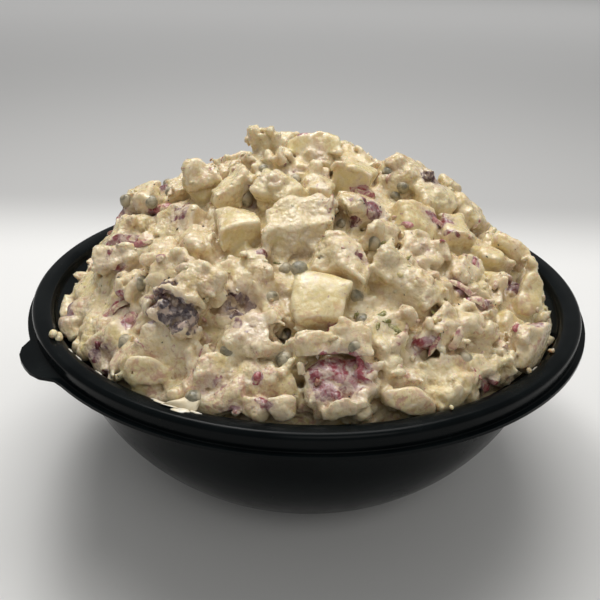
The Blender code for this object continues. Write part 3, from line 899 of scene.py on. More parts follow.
def noise_field(wavelength, rng):
    """Smooth random field over the grid, mean 0 and spread 1."""
    rows = [spline_weights(count, wavelength) for count in SHAPE]
    values = rng.standard_normal([row.shape[1] for row in rows]).astype(np.float32)
    for row in rows:
        values = np.moveaxis(np.tensordot(row, values, (1, 0)), 0, 2)
    return values / values.std()


def patchy_field(mean, change, least, most, wavelength, rng):
    """Field that changes smoothly from place to place between two limits."""
    return np.clip(mean + change * noise_field(wavelength, rng), least, most)


def grid_slice(centre, reach):
    """Slices of the grid that hold a ball, cut at the grid's edges."""
    slices = []
    for k in range(3):
        first = int(max(np.floor((centre[k] - reach - LOW[k]) / VOXEL), 0))
        last = int(min(np.ceil((centre[k] + reach - LOW[k]) / VOXEL) + 1, SHAPE[k]))
        slices.append(slice(first, max(last, first)))
    return tuple(slices)


class Field:
    """Distance field of the salad on a grid: a soft union of blocks and lumps on a core."""

    def __init__(self, rng):
        lines = [LOW[k] + VOXEL * np.arange(SHAPE[k]) for k in range(3)]
        self.axes = np.meshgrid(*lines, indexing="ij", sparse=True)
        self.x, self.y, self.z = self.axes
        self.warp = [noise_field(WARP_LENGTH, rng) for k in range(3)]
        self.owner = np.full(SHAPE, -1, np.int16)
        self.nearest = np.full(SHAPE, FAR_OFF, np.float32)
        self.second = np.full(SHAPE, FAR_OFF, np.float32)
        self.start_union(None, CHUNK_BLEND)

    def offsets(self, spot):
        """How far every place of the grid lies from a point, along each axis."""
        return [axis - middle for axis, middle in zip(self.axes, spot)]

    def core(self):
        """Distance to the core: a lower mound with the dips, inside a shoulder along the wall."""
        height = mound_height(self.x, self.y, CORE_EDGE_HEIGHT, MOUND_HEIGHT - DRESSING_DEPTH)
        height = height - dip_depth(self.x, self.y)
        radius = np.hypot(self.x, self.y)
        edge = np.clip((radius - FRONT_FILL_RADIUS) / FRONT_FILL_WIDTH, 0, 1)
        edge *= np.clip(-self.y / FRONT_FILL_REACH, 0, 1)
        height = (height + FRONT_FILL * edge)[:, :, 0]
        slope = np.gradient(height, VOXEL)
        lean = 1 / np.sqrt(1 + slope[0] ** 2 + slope[1] ** 2)
        above = (self.z - height[:, :, None]) * lean[:, :, None]
        radii = (wall_radius(CORE_FOOT), CORE_EDGE_RADIUS)
        shoulder = np.interp(self.z, (CORE_FOOT, CORE_EDGE_HEIGHT), radii)
        return np.maximum(above, radius - shoulder).astype(np.float32)

    def start_union(self, distance, blend):
        """Starts a new union whose members meet softly over blend millimetres."""
        self.blend = blend
        self.total = np.zeros(SHAPE, np.float32)
        if distance is not None:
            self.join(distance)

    def join(self, distance):
        """Adds a whole distance field to the union."""
        self.total += np.exp(np.clip(-distance / self.blend, -60, 60)).astype(np.float32)

    def distance(self):
        """Distance to the union so far, below 0 inside it."""
        return -self.blend * np.log(self.total + 1e-26)

    def add_block(self, number, centre, turned, size, rounding, warp, cuts=()):
        """Adds a rounded block; each cut is a direction and how much of the block it leaves."""
        reach = sqrt(sum(s * s for s in size)) / 2 + MARGIN
        part = grid_slice(centre, reach)
        if 0 in self.total[part].shape:
            return
        offsets = (self.x[part[0]] - centre[0], self.y[:, part[1]] - centre[1],
                   self.z[:, :, part[2]] - centre[2])
        moved = [offset + warp * self.warp[k][part] for k, offset in enumerate(offsets)]
        local = [moved[0] * way[0] + moved[1] * way[1] + moved[2] * way[2] for way in turned.col]
        sides = [np.abs(along) - (size[k] / 2 - rounding) for k, along in enumerate(local)]
        outside = np.sqrt(sum(np.maximum(side, 0) ** 2 for side in sides))
        inside = np.minimum(np.maximum(np.maximum(sides[0], sides[1]), sides[2]), 0)
        distance = outside + inside - rounding
        for way, kept in cuts:
            support = sum(abs(way[k]) * size[k] / 2 for k in range(3))
            face = local[0] * way[0] + local[1] * way[1] + local[2] * way[2] - kept * support
            distance = np.logaddexp(distance / CUT_BLEND, face / CUT_BLEND) * CUT_BLEND
        self.total[part] += np.exp(np.clip(-distance / self.blend, -60, 60))
        closer = distance < self.nearest[part]
        self.owner[part][closer] = number
        self.second[part] = np.minimum(self.second[part], np.maximum(self.nearest[part], distance))
        self.nearest[part][closer] = distance[closer]


def random_cuts(rng, count):
    """Cut planes in random directions, as (unit direction, share of the half size kept)."""
    cuts = []
    for i in range(count):
        way = rng.normal(size=3)
        cuts.append((way / np.linalg.norm(way), rng.uniform(*CUT_SHARES)))
    return cuts


def dip_depth(x, y):
    """How far the heap dips below the mound over a place in the plan."""
    depth = 0.0
    for dip_x, dip_y, radius, most in DIPS.values():
        share = np.minimum(np.hypot(x - dip_x, y - dip_y) / radius, 1)
        depth = np.maximum(depth, most * (1 - share ** 2) ** 2)
    return depth


def nearer_middle(x, y):
    """The pixel moved a little towards the middle of the heap."""
    return x + (HEAP_PIXEL[0] - x) * PIXEL_STEP, y + (HEAP_PIXEL[1] - y) * PIXEL_STEP


def march(distance, x, y):
    """First point of a field's surface that a pixel sees, or one nearer the middle."""
    steps = np.arange(MARCH_START, MARCH_END, MARCH_STEP)[:, None]
    points = np.array(EYE) + steps * np.array(view_ray(x, y))
    inside = np.all((points > LOW + 1) & (points < LOW + VOXEL * (np.array(SHAPE) - 2)), axis=1)
    found = np.nonzero(inside & (sample(distance, points) < 0))[0]
    if not len(found):
        return march(distance, *nearer_middle(x, y))
    return points[found[0]]


def above_outline(field):
    """How far each place of the grid stands above the photograph's outline, in millimetres."""
    offsets = field.offsets(EYE)
    across, up, ahead = [sum(way[k] * offsets[k] for k in range(3)) for way in VIEW]
    pixel = ahead * SENSOR / CAMERA_LENS / PICTURE_SIDE
    x = PICTURE_SIDE / 2 + across / pixel
    y = PICTURE_SIDE / 2 - up / pixel
    line = [np.interp(x + step, *zip(*OUTLINE.values())) for step in (-1, 0, 1)]
    return (line[1] - y) * pixel / np.hypot(1, (line[2] - line[0]) / 2)


def box_blur(values, reach):
    """Mean over a cube of 2 reach + 1 voxels, the grid's edge values carried on."""
    for axis in range(3):
        pad = [(0, 0)] * 3
        pad[axis] = (reach + 1, reach)
        total = np.cumsum(np.pad(values, pad, mode="edge"), axis=axis, dtype=np.float64)
        count = values.shape[axis]
        upper = np.take(total, np.arange(2 * reach + 1, 2 * reach + 1 + count), axis=axis)
        lower = np.take(total, np.arange(count), axis=axis)
        values = ((upper - lower) / (2 * reach + 1)).astype(np.float32)
    return values


def sample(values, points):
    """Values of a grid field at points, between voxels."""
    place = np.clip((points - LOW) / VOXEL, 0, np.array(SHAPE) - 1.001)
    base = place.astype(int)
    t = place - base
    found = np.zeros(len(points))
    for corner in np.ndindex(2, 2, 2):
        weight = np.prod(np.where(corner, t, 1 - t), axis=1)
        i, j, k = (base + corner).T
        found += weight * values[i, j, k]
    return found


def cell_points(values, cells):
    """Point of the surface in each cell: the mean of the places where it crosses the edges."""
    total = np.zeros((len(cells), 3))
    crossings = np.zeros(len(cells))
    for axis, *shift in product(range(3), range(2), range(2)):
        start = np.insert(shift, axis, 0)
        end = np.insert(shift, axis, 1)
        first = values[tuple((cells + start).T)]
        second = values[tuple((cells + end).T)]
        crossed = (first < 0) != (second < 0)
        t = np.where(crossed, first / np.where(crossed, first - second, 1), 0)
        total += crossed[:, None] * (start + t[:, None] * (end - start))
        crossings += crossed
    return LOW + VOXEL * (cells + total / crossings[:, None])


def surface_nets(values):
    """Closed surface of a grid field at 0 as points and quads that face out."""
    inside = values < 0
    count = np.zeros([n - 1 for n in values.shape], np.int8)
    for a, b, c in np.ndindex(2, 2, 2):
        count += inside[a:a + count.shape[0], b:b + count.shape[1], c:c + count.shape[2]]
    active = (count > 0) & (count < 8)
    cells = np.argwhere(active)
    number = np.full(count.shape, -1, np.int64)
    number[active] = np.arange(len(cells))
    quads = []
    for axis, (u, v) in enumerate(((1, 2), (2, 0), (0, 1))):
        ahead = np.moveaxis(inside, axis, 0)
        change = np.moveaxis(ahead[:-1] != ahead[1:], 0, axis)
        spots = np.argwhere(change)
        spots = spots[(spots[:, u] > 0) & (spots[:, v] > 0)]
        spots = spots[(spots[:, u] < count.shape[u]) & (spots[:, v] < count.shape[v])]
        corners = []
        for du, dv in ((-1, -1), (0, -1), (0, 0), (-1, 0)):
            cell = spots.copy()
            cell[:, u] += du
            cell[:, v] += dv
            corners.append(number[tuple(cell.T)])
        faces = np.stack(corners, 1)
        outward = inside[tuple(spots.T)]
        faces[~outward] = faces[~outward][:, ::-1]
        quads.append(faces)
    return cell_points(values, cells), np.concatenate(quads)


def largest_island(points, faces):
    """The points and faces of the largest joined piece of a surface."""
    edges = np.concatenate([faces[:, [k, k - 1]] for k in range(faces.shape[1])])
    labels = np.arange(len(points))
    while True:
        first, second = labels[edges[:, 0]], labels[edges[:, 1]]
        if (first == second).all():
            break
        np.minimum.at(labels, np.maximum(first, second), np.minimum(first, second))
        labels = labels[labels[labels]]
    kept = labels == np.bincount(labels).argmax()
    number = np.cumsum(kept) - 1
    return points[kept], number[faces[kept[faces[:, 0]]]]


# Meshes

def add_object(name, data):
    """Object of a mesh, light or camera, in the scene."""
    item = bpy.data.objects.new(name, data)
    bpy.context.scene.collection.objects.link(item)
    return item


def new_mesh(name, points, faces):
    """Object of a mesh from arrays of points in millimetres and of faces with equal sides."""
    mesh = bpy.data.meshes.new(name)
    sides = faces.shape[1]
    mesh.vertices.add(len(points))
    mesh.vertices.foreach_set("co", (np.asarray(points) * MM).astype(np.float32).ravel())
    mesh.loops.add(faces.size)
    mesh.loops.foreach_set("vertex_index", faces.astype(np.int32).ravel())
    mesh.polygons.add(len(faces))
    mesh.polygons.foreach_set("loop_start", np.arange(0, faces.size, sides, dtype=np.int32))
    mesh.update(calc_edges=True)
    mesh.validate()
    mesh.shade_smooth()
    return add_object(name, mesh)


def apply_modifiers(item):
    """Puts the item's modifiers into its mesh."""
    graph = bpy.context.evaluated_depsgraph_get()
    mesh = bpy.data.meshes.new_from_object(item.evaluated_get(graph))
    item.modifiers.clear()
    item.data = mesh


def mesh_arrays(item):
    """The mesh's points and normals in millimetres."""
    count = len(item.data.vertices)
    points = np.zeros(count * 3, np.float32)
    normals = np.zeros(count * 3, np.float32)
    item.data.vertices.foreach_get("co", points)
    item.data.vertices.foreach_get("normal", normals)
    return points.reshape(-1, 3) / MM, normals.reshape(-1, 3)


def paint(item, name, channels):
    """Colour attribute of up to three values a point."""
    layer = item.data.color_attributes.new(name, "FLOAT_COLOR", "POINT")
    colours = np.ones((len(item.data.vertices), 4), np.float32)
    for k, channel in enumerate(channels):
        colours[:, k] = channel
    layer.data.foreach_set("color", colours.ravel())


# The dressed mass

def faces_away(points, normals):
    """Whether points are on the side of the heap that the photograph doesn't show."""
    outward = normals + points * (AWAY_LEAN, AWAY_LEAN, 0)
    return (outward * (np.array(EYE) - points)).sum(1) < 0


def skin_patches(mass, points, normals, rng):
    """Every patch of skin or onion as (place, rotation, half length and width, strength, hue)."""
    patches = []
    seen = seen_places(mass, SKINS.values(), 0.0)
    for (spot, normal), (x, y, *sizes, turn, amount, hue) in zip(seen, SKINS.values()):
        patches.append((spot, picture_basis(normal, radians(turn)), *sizes, amount, hue))
    hidden = faces_away(points, normals) & clear_of_wall(points, SKIN_MARGIN)
    for k in rng.choice(np.nonzero(hidden)[0], MORE_SKINS):
        turned = turn_about(mound_basis(Vector(normals[k])), Z=rng.uniform(0, pi))
        length = rng.uniform(*SKIN_LENGTHS)
        width = length * rng.uniform(*SKIN_WIDTHS)
        amount = rng.uniform(*SKIN_STRENGTHS)
        patches.append((points[k], turned, length, width, amount, rng.uniform(0, 1)))
    return patches


def skin_paint(mass, points, normals, rng):
    """How much skin or onion colour shows at each point, and how purple-grey it is."""
    strength = np.zeros(len(points))
    purple = np.zeros(len(points))
    for spot, turned, length, width, amount, hue in skin_patches(mass, points, normals, rng):
        local = (points - np.array(spot)) @ np.array(turned)
        shares = (local[:, 0] / length) ** 2 + (local[:, 1] / width) ** 2 + (local[:, 2] / SKIN_DEPTH) ** 2
        here = amount * np.clip(SKIN_FADE[0] - SKIN_FADE[1] * np.sqrt(shares), 0, 1)
        purple = np.where(here > strength, hue, purple)
        strength = np.maximum(strength, here)
    return strength, purple


def crease_weight(filled, base, more):
    """Weight of places: base where little of their surroundings is filled, and more in creases."""
    return base + more * np.clip(filled - 0.5, 0, 1)


def surface_spots(distance, coat, count, rng):
    """Random points on the coated surface so far and their normals, more of them in creases."""
    filled = box_blur((distance < 0).astype(np.float32), LUMP_SHADE)
    cells = np.argwhere(np.abs(distance) < 0.5 * VOXEL)
    cells = cells[np.all((cells > 2) & (cells < np.array(SHAPE) - 3), axis=1)]
    points = LOW + VOXEL * cells
    cells = cells[clear_of_wall(points, LUMP_MARGIN) & (points[:, 2] > LUMP_LOWEST)]
    weight = crease_weight(filled[tuple(cells.T)], *LUMP_CREASES)
    weight *= BARE_LUMPS + (1 - BARE_LUMPS) * np.clip(coat[tuple(cells.T)], 0, 1)
    weight *= np.interp(LOW[2] + VOXEL * cells[:, 2], LUMP_LEVELS, LUMP_SHARES)
    cells = cells[rng.choice(len(cells), count, replace=False, p=weight / weight.sum())]
    steps = 2 * np.eye(3, dtype=int)
    normals = [distance[tuple((cells + step).T)] - distance[tuple((cells - step).T)] for step in steps]
    normals = np.stack(normals, 1)
    normals /= np.linalg.norm(normals, axis=1)[:, None] + 1e-6
    return LOW + VOXEL * cells, normals


def add_lumps(field, coat, rng, first):
    """Small lumps of mashed potato, onion and dressing on the chunks and between them."""
    distance = field.distance()
    field.start_union(distance, LUMP_BLEND)
    spots, normals = surface_spots(distance, coat, LUMPS, rng)
    for i, (spot, normal) in enumerate(zip(spots, normals)):
        size = random_size(LUMP_SIZES, LUMP_POWER, rng)
        sides = size * rng.uniform(*LUMP_SIDES)
        turned = turn_about(mound_basis(Vector(normal)), Z=rng.uniform(0, pi),
                            X=rng.uniform(-LUMP_TILT, LUMP_TILT))
        centre = spot + normal * sides[2] * rng.uniform(*LUMP_LIFTS)
        cuts = random_cuts(rng, 2) if size > LUMP_CUT_SIZE else ()
        field.add_block(first + i, centre, turned, sides, LUMP_ROUNDING * min(sides), LUMP_WARP, cuts)


def edge_pieces(rng):
    """Small blocks that fill the heap out to the rim, between the chunks' lower ends."""
    for count, radii, reach, sizes, length, highest, tilt in EDGE_PIECES.values():
        for i in range(count):
            angle = 2 * pi * (i + rng.uniform(-0.4, 0.4)) / count
            front = max(0.0, -sin(angle))
            radius = rng.uniform(*radii) + reach * FRONT_REACH * front
            size = rng.uniform(*sizes) * np.array(
                (length, rng.uniform(*EDGE_PIECE_WIDTHS), rng.uniform(*EDGE_PIECE_HEIGHTS)))
            height = EDGE_HEIGHT + rng.uniform(EDGE_PIECE_LOWEST, highest) + FRONT_RISE * front
            spot = Vector((radius * cos(angle), radius * sin(angle), height))
            turned = turn_about(Matrix.Identity(3), Z=rng.uniform(0, pi), X=rng.uniform(-tilt, tilt))
            yield spot + push_inward(spot, turned, size), turned, size


def lay_chunks(field, chunks, rng):
    """Adds the chunks of the solids, settled a little into the heap."""
    nudges = {list(CHUNKS).index(name): move for name, move in NUDGES.items()}
    for number, (centre, turned, size, kind) in enumerate(chunks):
        drop = SETTLE if number < len(CHUNKS) else max(FILLER_SETTLE, dip_depth(centre.x, centre.y))
        centre = centre - Vector((0, 0, drop)) + Vector(nudges.get(number, (0, 0, 0)))
        cuts = random_cuts(rng, CHUNK_CUTS)
        field.add_block(number, centre, turned, size, ROUNDING[kind], WARP[kind], cuts)


def lay_extras(field, first, rng):
    """Adds the pieces of EXTRA with every second number from first, and gives their places."""
    distance = field.distance()
    places = []
    for i, (x, y, length, width, height, turn, sunk, kind) in enumerate(EXTRA.values()):
        spot = Vector(march(distance, x, y))
        normal = mound_frame(spot.x, spot.y)[1]
        normal = (normal - Vector(view_ray(x, y))).normalized()
        spot -= normal * (height * sunk)
        turned = picture_basis(normal, radians(turn))
        size = (length, width, height)
        cuts = random_cuts(rng, EXTRA_CUTS)
        field.add_block(first + 2 * i, spot, turned, size, ROUNDING["bare"], EXTRA_WARP, cuts)
        places.append(spot)
    return places


def dressing_coat(field, chunks, first, rng):
    """How far each place is coated with dressing: 0 on bare potato, 1 elsewhere."""
    bare_numbers = [i for i, chunk in enumerate(chunks) if chunk[3] == "bare"]
    bare_numbers += [first + 2 * i for i, piece in enumerate(EXTRA.values()) if piece[-1] == "bare"]
    bare = np.isin(field.owner, bare_numbers) & (field.nearest < BARE_DEPTH)
    patches = COAT_PATCHES[0] * (noise_field(COAT_LENGTH, rng) > COAT_PATCHES[1])
    return np.clip(1 - box_blur(bare.astype(np.float32), 1) + patches, 0, 1)


def open_seams(field, rng):
    """Starts the union again with seams between the blocks, and adds the core."""
    seam = np.clip(1 - (field.second - field.nearest) / SEAM_WIDTH, 0, 1) ** 2
    depth = SEAM_DEPTH * patchy_field(*SEAM_PATCHES, rng)
    depth = depth * np.interp(field.z, SEAM_LEVELS, SEAM_SHARES)
    field.start_union(field.distance() + seam * depth + SHRINK, CHUNK_BLEND)
    field.join(field.core())


def lay_nubs(field, first, rng):
    """Adds the small pieces that stand upright on the crown, their middles a little over it."""
    distance = field.distance()
    for i, (x, y, width, height, lean) in enumerate(NUBS.values()):
        spot = Vector(march(distance, x, y)) + Vector((0, 0, height / 6))
        turned = turn_about(Matrix.Identity(3), Y=radians(lean), Z=radians(NUB_TURN * i))
        size = (width, width * NUB_DEPTH, height)
        field.add_block(first + i, spot, turned, size, ROUNDING["bare"], WARP["bare"], random_cuts(rng, 1))


def lay_edge(field, high, first, rng):
    """Adds the small blocks along the rim, except those too near a high place."""
    for i, (centre, turned, size) in enumerate(edge_pieces(rng)):
        if all((centre - spot).length > CLEAR_OF_HIGH for spot in high):
            field.add_block(first + i, centre, turned, size, EDGE_ROUNDING * min(size), EDGE_WARP,
                            random_cuts(rng, 2))


def carve_pits(field, distance, fine, grain):
    """The distance field with the dark pits of PITS bored along the photograph's view."""
    for x, y, width, depth in PITS.values():
        spot = march(distance, x, y)
        way = view_ray(x, y)
        offsets = field.offsets(spot)
        along = sum(way[k] * offsets[k] for k in range(3))
        square = sum(offset ** 2 for offset in offsets)
        aside = np.sqrt(np.maximum(square - along ** 2, 0))
        across = aside + PIT_FINE * fine + PIT_GRAIN * grain - width / 2
        pit = np.maximum(across, np.abs(along) - depth)
        distance = np.maximum(distance, -pit)
    return distance


def edge_radius(field, grain):
    """How far out the mass reaches: to the wall, and less where it leaves the wall bare."""
    turn = np.arctan2(field.y, field.x)
    off = np.abs((turn - OPEN_ANGLE + pi) % (2 * pi) - pi)
    above = np.maximum(field.z - OPEN_TOP, 0)
    ragged = OPEN_RADIUS + above - OPEN_GRAIN * (grain + NOISE_MEAN)
    wall = np.minimum(wall_radius(field.z), np.where(off < OPEN_HALF_ANGLE, ragged, NO_LIMIT))
    off = np.abs(turn - BARE_WALL_ANGLE) / BARE_WALL_HALF_ANGLE
    pull = np.clip(1 - off ** 2, 0, 1) * (EDGE_RADIUS + EDGE_OVERHANG - BARE_WALL_RADIUS)
    front = FRONT_REACH * np.clip(-FRONT_SPREAD * np.sin(turn), 0, 1)
    return np.minimum(wall, EDGE_RADIUS + EDGE_OVERHANG + front - pull + EDGE_GRAIN * grain)


def salad_field(rng):
    """Distance field of the dressed mass, the owner of each place and how far it is coated."""
    field = Field(rng)
    chunks = chunk_list()
    first = len(chunks)
    lay_chunks(field, chunks, rng)
    places = lay_extras(field, first, rng)
    coat = dressing_coat(field, chunks, first, rng)
    open_seams(field, rng)
    lay_nubs(field, first, rng)
    high = [spot for spot, piece in zip(places, EXTRA.values()) if piece[-2] == HIGH]
    after = first + len(EXTRA)
    lay_edge(field, high, after, rng)
    add_lumps(field, box_blur(coat, 1), rng, after + EDGE_BLOCKS + EDGE_CRUMBS)
    distance = field.distance()
    curd = np.abs(noise_field(CURD_LENGTH, rng)) - NOISE_MEAN
    grain = np.abs(noise_field(GRAIN_LENGTH, rng)) - NOISE_MEAN
    fine = noise_field(FINE_LENGTH, rng)
    relief = CURD * curd + (GRAIN * grain + FINE * fine) * patchy_field(*ROUGH_PATCHES, rng)
    distance -= relief * (BARE_RELIEF + (1 - BARE_RELIEF) * coat)
    near = np.clip(distance, -PINHOLE_REACH, PINHOLE_REACH)
    distance = np.minimum(distance, box_blur(near, PINHOLE_REACH) + PINHOLE)
    distance = np.maximum(distance, above_outline(field) + OUTLINE_GRAIN * grain - OUTLINE_SLACK)
    distance = carve_pits(field, distance, fine, grain)
    beyond = np.hypot(field.x, field.y) - edge_radius(field, grain) + EDGE_CLEARANCE
    distance = np.maximum(distance, beyond)
    distance = np.maximum(distance, LOW[2] + FLOOR_CLEARANCE - field.z)
    return distance.astype(np.float32), field.owner, coat


def make_mass(rng):
    """The dressed mass: every chunk, lump and fold of dressing on the core, as one surface."""
    distance, owner, coat = salad_field(rng)
    points, quads = largest_island(*surface_nets(distance))
    mass = new_mesh("salad_mass", points, quads)
    decimate = mass.modifiers.new("fewer", "DECIMATE")
    decimate.ratio = min(1.0, MOST_TRIANGLES / (2 * len(quads)))
    apply_modifiers(mass)
    mass.data.shade_smooth()
    points, normals = mesh_arrays(mass)
    filled = (distance < 0).astype(np.float32)
    fine = sample(box_blur(filled, FINE_SHADE), points)
    broad = sample(box_blur(filled, BROAD_SHADE), points)
    cell = np.rint((points - normals * OWNER_DEPTH - LOW) / VOXEL)
    cell = np.clip(cell, 0, np.array(SHAPE) - 1)
    number = owner[tuple(cell.astype(int).T)]
    tints = rng.uniform(0, 1, owner.max() + 2)
    strength, purple = skin_paint(mass, points, normals, rng)
    paint(mass, "parts", (strength, purple, 1 - np.clip(sample(coat, points), 0, 1)))
    # The shade attribute: how filled the surroundings are, finely and broadly, which the material turns
    # into painted shade in creases and a painted highlight on ridges, and a random tint for each block
    paint(mass, "shade", (fine, broad, tints[number]))
    return mass


# The small pieces

def icosphere(subdivisions):
    """Points and triangles of a unit icosphere."""
    ball = bmesh.new()
    bmesh.ops.create_icosphere(ball, subdivisions=subdivisions, radius=1)
    points = np.array([v.co for v in ball.verts])
    faces = np.array([[v.index for v in face.verts] for face in ball.faces])
    ball.free()
    return points, faces


def random_turns(count, rng):
    """Random rotation matrices, spread evenly over all directions."""
    q = rng.normal(size=(count, 4))
    w, x, y, z = (q / np.linalg.norm(q, axis=1)[:, None]).T
    rows = (
        (1 - 2 * (y * y + z * z), 2 * (x * y - w * z), 2 * (x * z + w * y)),
        (2 * (x * y + w * z), 1 - 2 * (x * x + z * z), 2 * (y * z - w * x)),
        (2 * (x * z - w * y), 2 * (y * z + w * x), 1 - 2 * (x * x + y * y)),
    )
    return np.moveaxis(np.array(rows), 2, 0)


def scatter_mesh(name, shapes, faces, colours=None):
    """One object of many small closed pieces; shapes holds the points of each."""
    count, each = shapes.shape[:2]
    steps = np.arange(count)[:, None, None] * each
    item = new_mesh(name, shapes.reshape(-1, 3), (faces[None] + steps).reshape(-1, 3))
    for layer, channels in (colours or {}).items():
        paint(item, layer, [np.repeat(np.broadcast_to(channel, count), each) for channel in channels])
    return item


def placed(shape, turned, spot):
    """The shape's points, turned and moved to a place."""
    return shape @ np.array(turned).T + np.array(spot)


def lumpy_shapes(spots, sides, rng, unevenness, subdivisions=1):
    """Uneven rounded lumps at the spots; sides holds the three half sizes of each."""
    points, faces = icosphere(subdivisions)
    shapes = np.repeat(points[None], len(spots), axis=0)
    for wave in DENT_WAVES:
        ways = rng.normal(size=(len(spots), 3)) * wave
        phase = rng.uniform(0, 2 * pi, (len(spots), 1))
        swell = np.sin(np.einsum("nj,pj->np", ways, points) + phase)
        shapes *= 1 + unevenness * swell[:, :, None]
    shapes *= sides[:, None, :]
    shapes = np.einsum("nij,npj->npi", random_turns(len(spots), rng), shapes)
    return shapes + spots[:, None, :], faces


def pick_spots(mass, rng, count, weight=1.0):
    """Random points of the mass's surface with their normals, clear of the bowl's wall."""
    points, normals = mesh_arrays(mass)
    fit = (points[:, 2] > GRAIN_LOWEST) & (points[:, 2] < GRAIN_TOP)
    share = weight * (fit & clear_of_wall(points, WALL_MARGIN))
    chosen = rng.choice(len(points), count, replace=False, p=share / share.sum())
    return points[chosen], normals[chosen], chosen


def colour_values(item, name):
    """Values of a colour attribute, one row a point."""
    colours = np.zeros(len(item.data.vertices) * 4, np.float32)
    item.data.color_attributes[name].data.foreach_get("color", colours)
    return colours.reshape(-1, 4)


def make_crumble(mass, rng):
    """Small grains of mashed potato and dressing that sit on the mass."""
    parts = colour_values(mass, "parts")
    shade = colour_values(mass, "shade")
    weight = crease_weight(shade[:, 0], *CRUMBLE_CREASES) * (1 - LESS_ON_BARE * parts[:, 2])
    spots, normals, chosen = pick_spots(mass, rng, CRUMBLE, weight)
    size = random_size(CRUMBLE_SIZES, CRUMBLE_POWER, rng, CRUMBLE)
    sides = size[:, None] * rng.uniform(*CRUMBLE_SIDES, (CRUMBLE, 3))
    spots = spots - normals * (size * rng.uniform(*CRUMBLE_SINKS, CRUMBLE))[:, None]
    shapes, faces = lumpy_shapes(spots, sides, rng, CRUMBLE_DENTS)
    parts = parts[chosen]
    shade = shade[chosen]
    tint = rng.uniform(0, 1, CRUMBLE)
    skin = np.where(rng.uniform(0, 1, CRUMBLE) < SKINNED_SHARE, 0.9, parts[:, 0])
    purple = np.where(skin > parts[:, 0], rng.uniform(0, 1, CRUMBLE), parts[:, 1])
    # The crumbs copy the mass's values for painted shade and ridge highlight
    colours = {"parts": (skin, purple, tint > 0.8), "shade": (shade[:, 0], shade[:, 1], tint)}
    return scatter_mesh("salad_crumble", shapes, faces, colours)


def seen_places(mass, rows, sink):
    """Points and normals of the mass, sunk a little, at the pixels that the rows begin with."""
    tree = BVHTree.FromObject(mass, bpy.context.evaluated_depsgraph_get())
    found = []
    for x, y, *_ in rows:
        spot = None
        while spot is None:
            spot, facing, index, distance = tree.ray_cast(EYE * MM, view_ray(x, y))
            x, y = nearer_middle(x, y)
        spot = spot / MM
        normal = (facing + mound_frame(spot.x, spot.y)[1]).normalized()
        found.append((spot - normal * sink, normal))
    return found


def caper_shape(points, rng):
    """Unit flower bud: round, a little pointed at one end, with a scar at the other."""
    x, y, z = points.T
    ring = np.arctan2(y, x)
    point = 1 + 0.12 * np.clip(z, 0, 1) ** 3
    scar = 1 - 0.16 * np.clip(-z - 0.86, 0, 1) / 0.14
    folds = 1 + 0.025 * np.cos(ring * 4 + 2.2 * z) * (1 - z * z)
    dents = 1 + 0.04 * np.sin(points @ rng.normal(size=3) * 2.2 + rng.uniform(0, 6))
    shape = points * (folds * dents)[:, None]
    shape[:, 2] *= point * scar
    return shape


def make_capers(mass, rng):
    """Every caper: those placed by the photograph, and more over the sides and back."""
    seen = seen_places(mass, CAPERS.values(), CAPER_SINK)
    spots = [(spot, rng.uniform(*CAPER_RADII)) for spot, normal in seen]
    surface, facing = mesh_arrays(mass)
    filled = colour_values(mass, "shade")[:, 0]
    weight = crease_weight(filled, *CAPER_CREASES) * faces_away(surface, facing)
    weight *= (surface[:, 2] < CAPER_TOP) & (surface[:, 1] > CAPER_FRONT)
    more, normals, chosen = pick_spots(mass, rng, MORE_CAPERS, weight)
    for spot, normal in zip(more, normals):
        spot = Vector(spot) + Vector(normal) * rng.uniform(*MORE_CAPER_LIFTS)
        spots.append((spot, rng.uniform(*MORE_CAPER_RADII)))
    points, faces = icosphere(3)
    shapes = []
    for (spot, radius), turned in zip(spots, random_turns(len(spots), rng)):
        size = radius * rng.uniform(*CAPER_SIDES)
        shapes.append(placed(caper_shape(points, rng) * size, turned, spot))
    return scatter_mesh("capers", np.array(shapes), faces)


def strip_shape(length, width, thickness, curl, rng):
    """Closed thin curved strip of onion or skin, as points of a grid on two sides."""
    wobble = rng.normal(size=4)
    points = []
    for side, a, b in product((1, -1), np.linspace(-1, 1, STRIP_ROWS), np.linspace(-1, 1, STRIP_ACROSS)):
        taper = (1 - abs(a) ** 3.0) ** 0.5 * (1 + 0.12 * sin(3 * a + wobble[0]))
        x = a * length / 2 * (1 + 0.05 * sin(4 * b + wobble[1]))
        y = b * width / 2 * taper
        crown = (1 - b * b) ** 0.5 * (1 - a * a) ** 0.25
        bend = -curl * (a * a) - 0.18 * width * b * b
        ripple = 0.25 * sin(5 * a + wobble[2]) * cos(2 * b + wobble[3])
        points.append((x, y, bend + ripple + side * thickness / 2 * crown))
    return np.array(points)


def strip_faces():
    """Triangles of a strip's two sides; its edges meet because the crown is 0 there."""
    faces = []
    for side, i, j in product(range(2), range(STRIP_ROWS - 1), range(STRIP_ACROSS - 1)):
        first = (side * STRIP_ROWS + i) * STRIP_ACROSS + j
        quad = (first, first + 1, first + STRIP_ACROSS + 1, first + STRIP_ACROSS)
        a, b, c, d = quad if side else quad[::-1]
        faces += [(a, b, c), (a, c, d)]
    return np.array(faces)


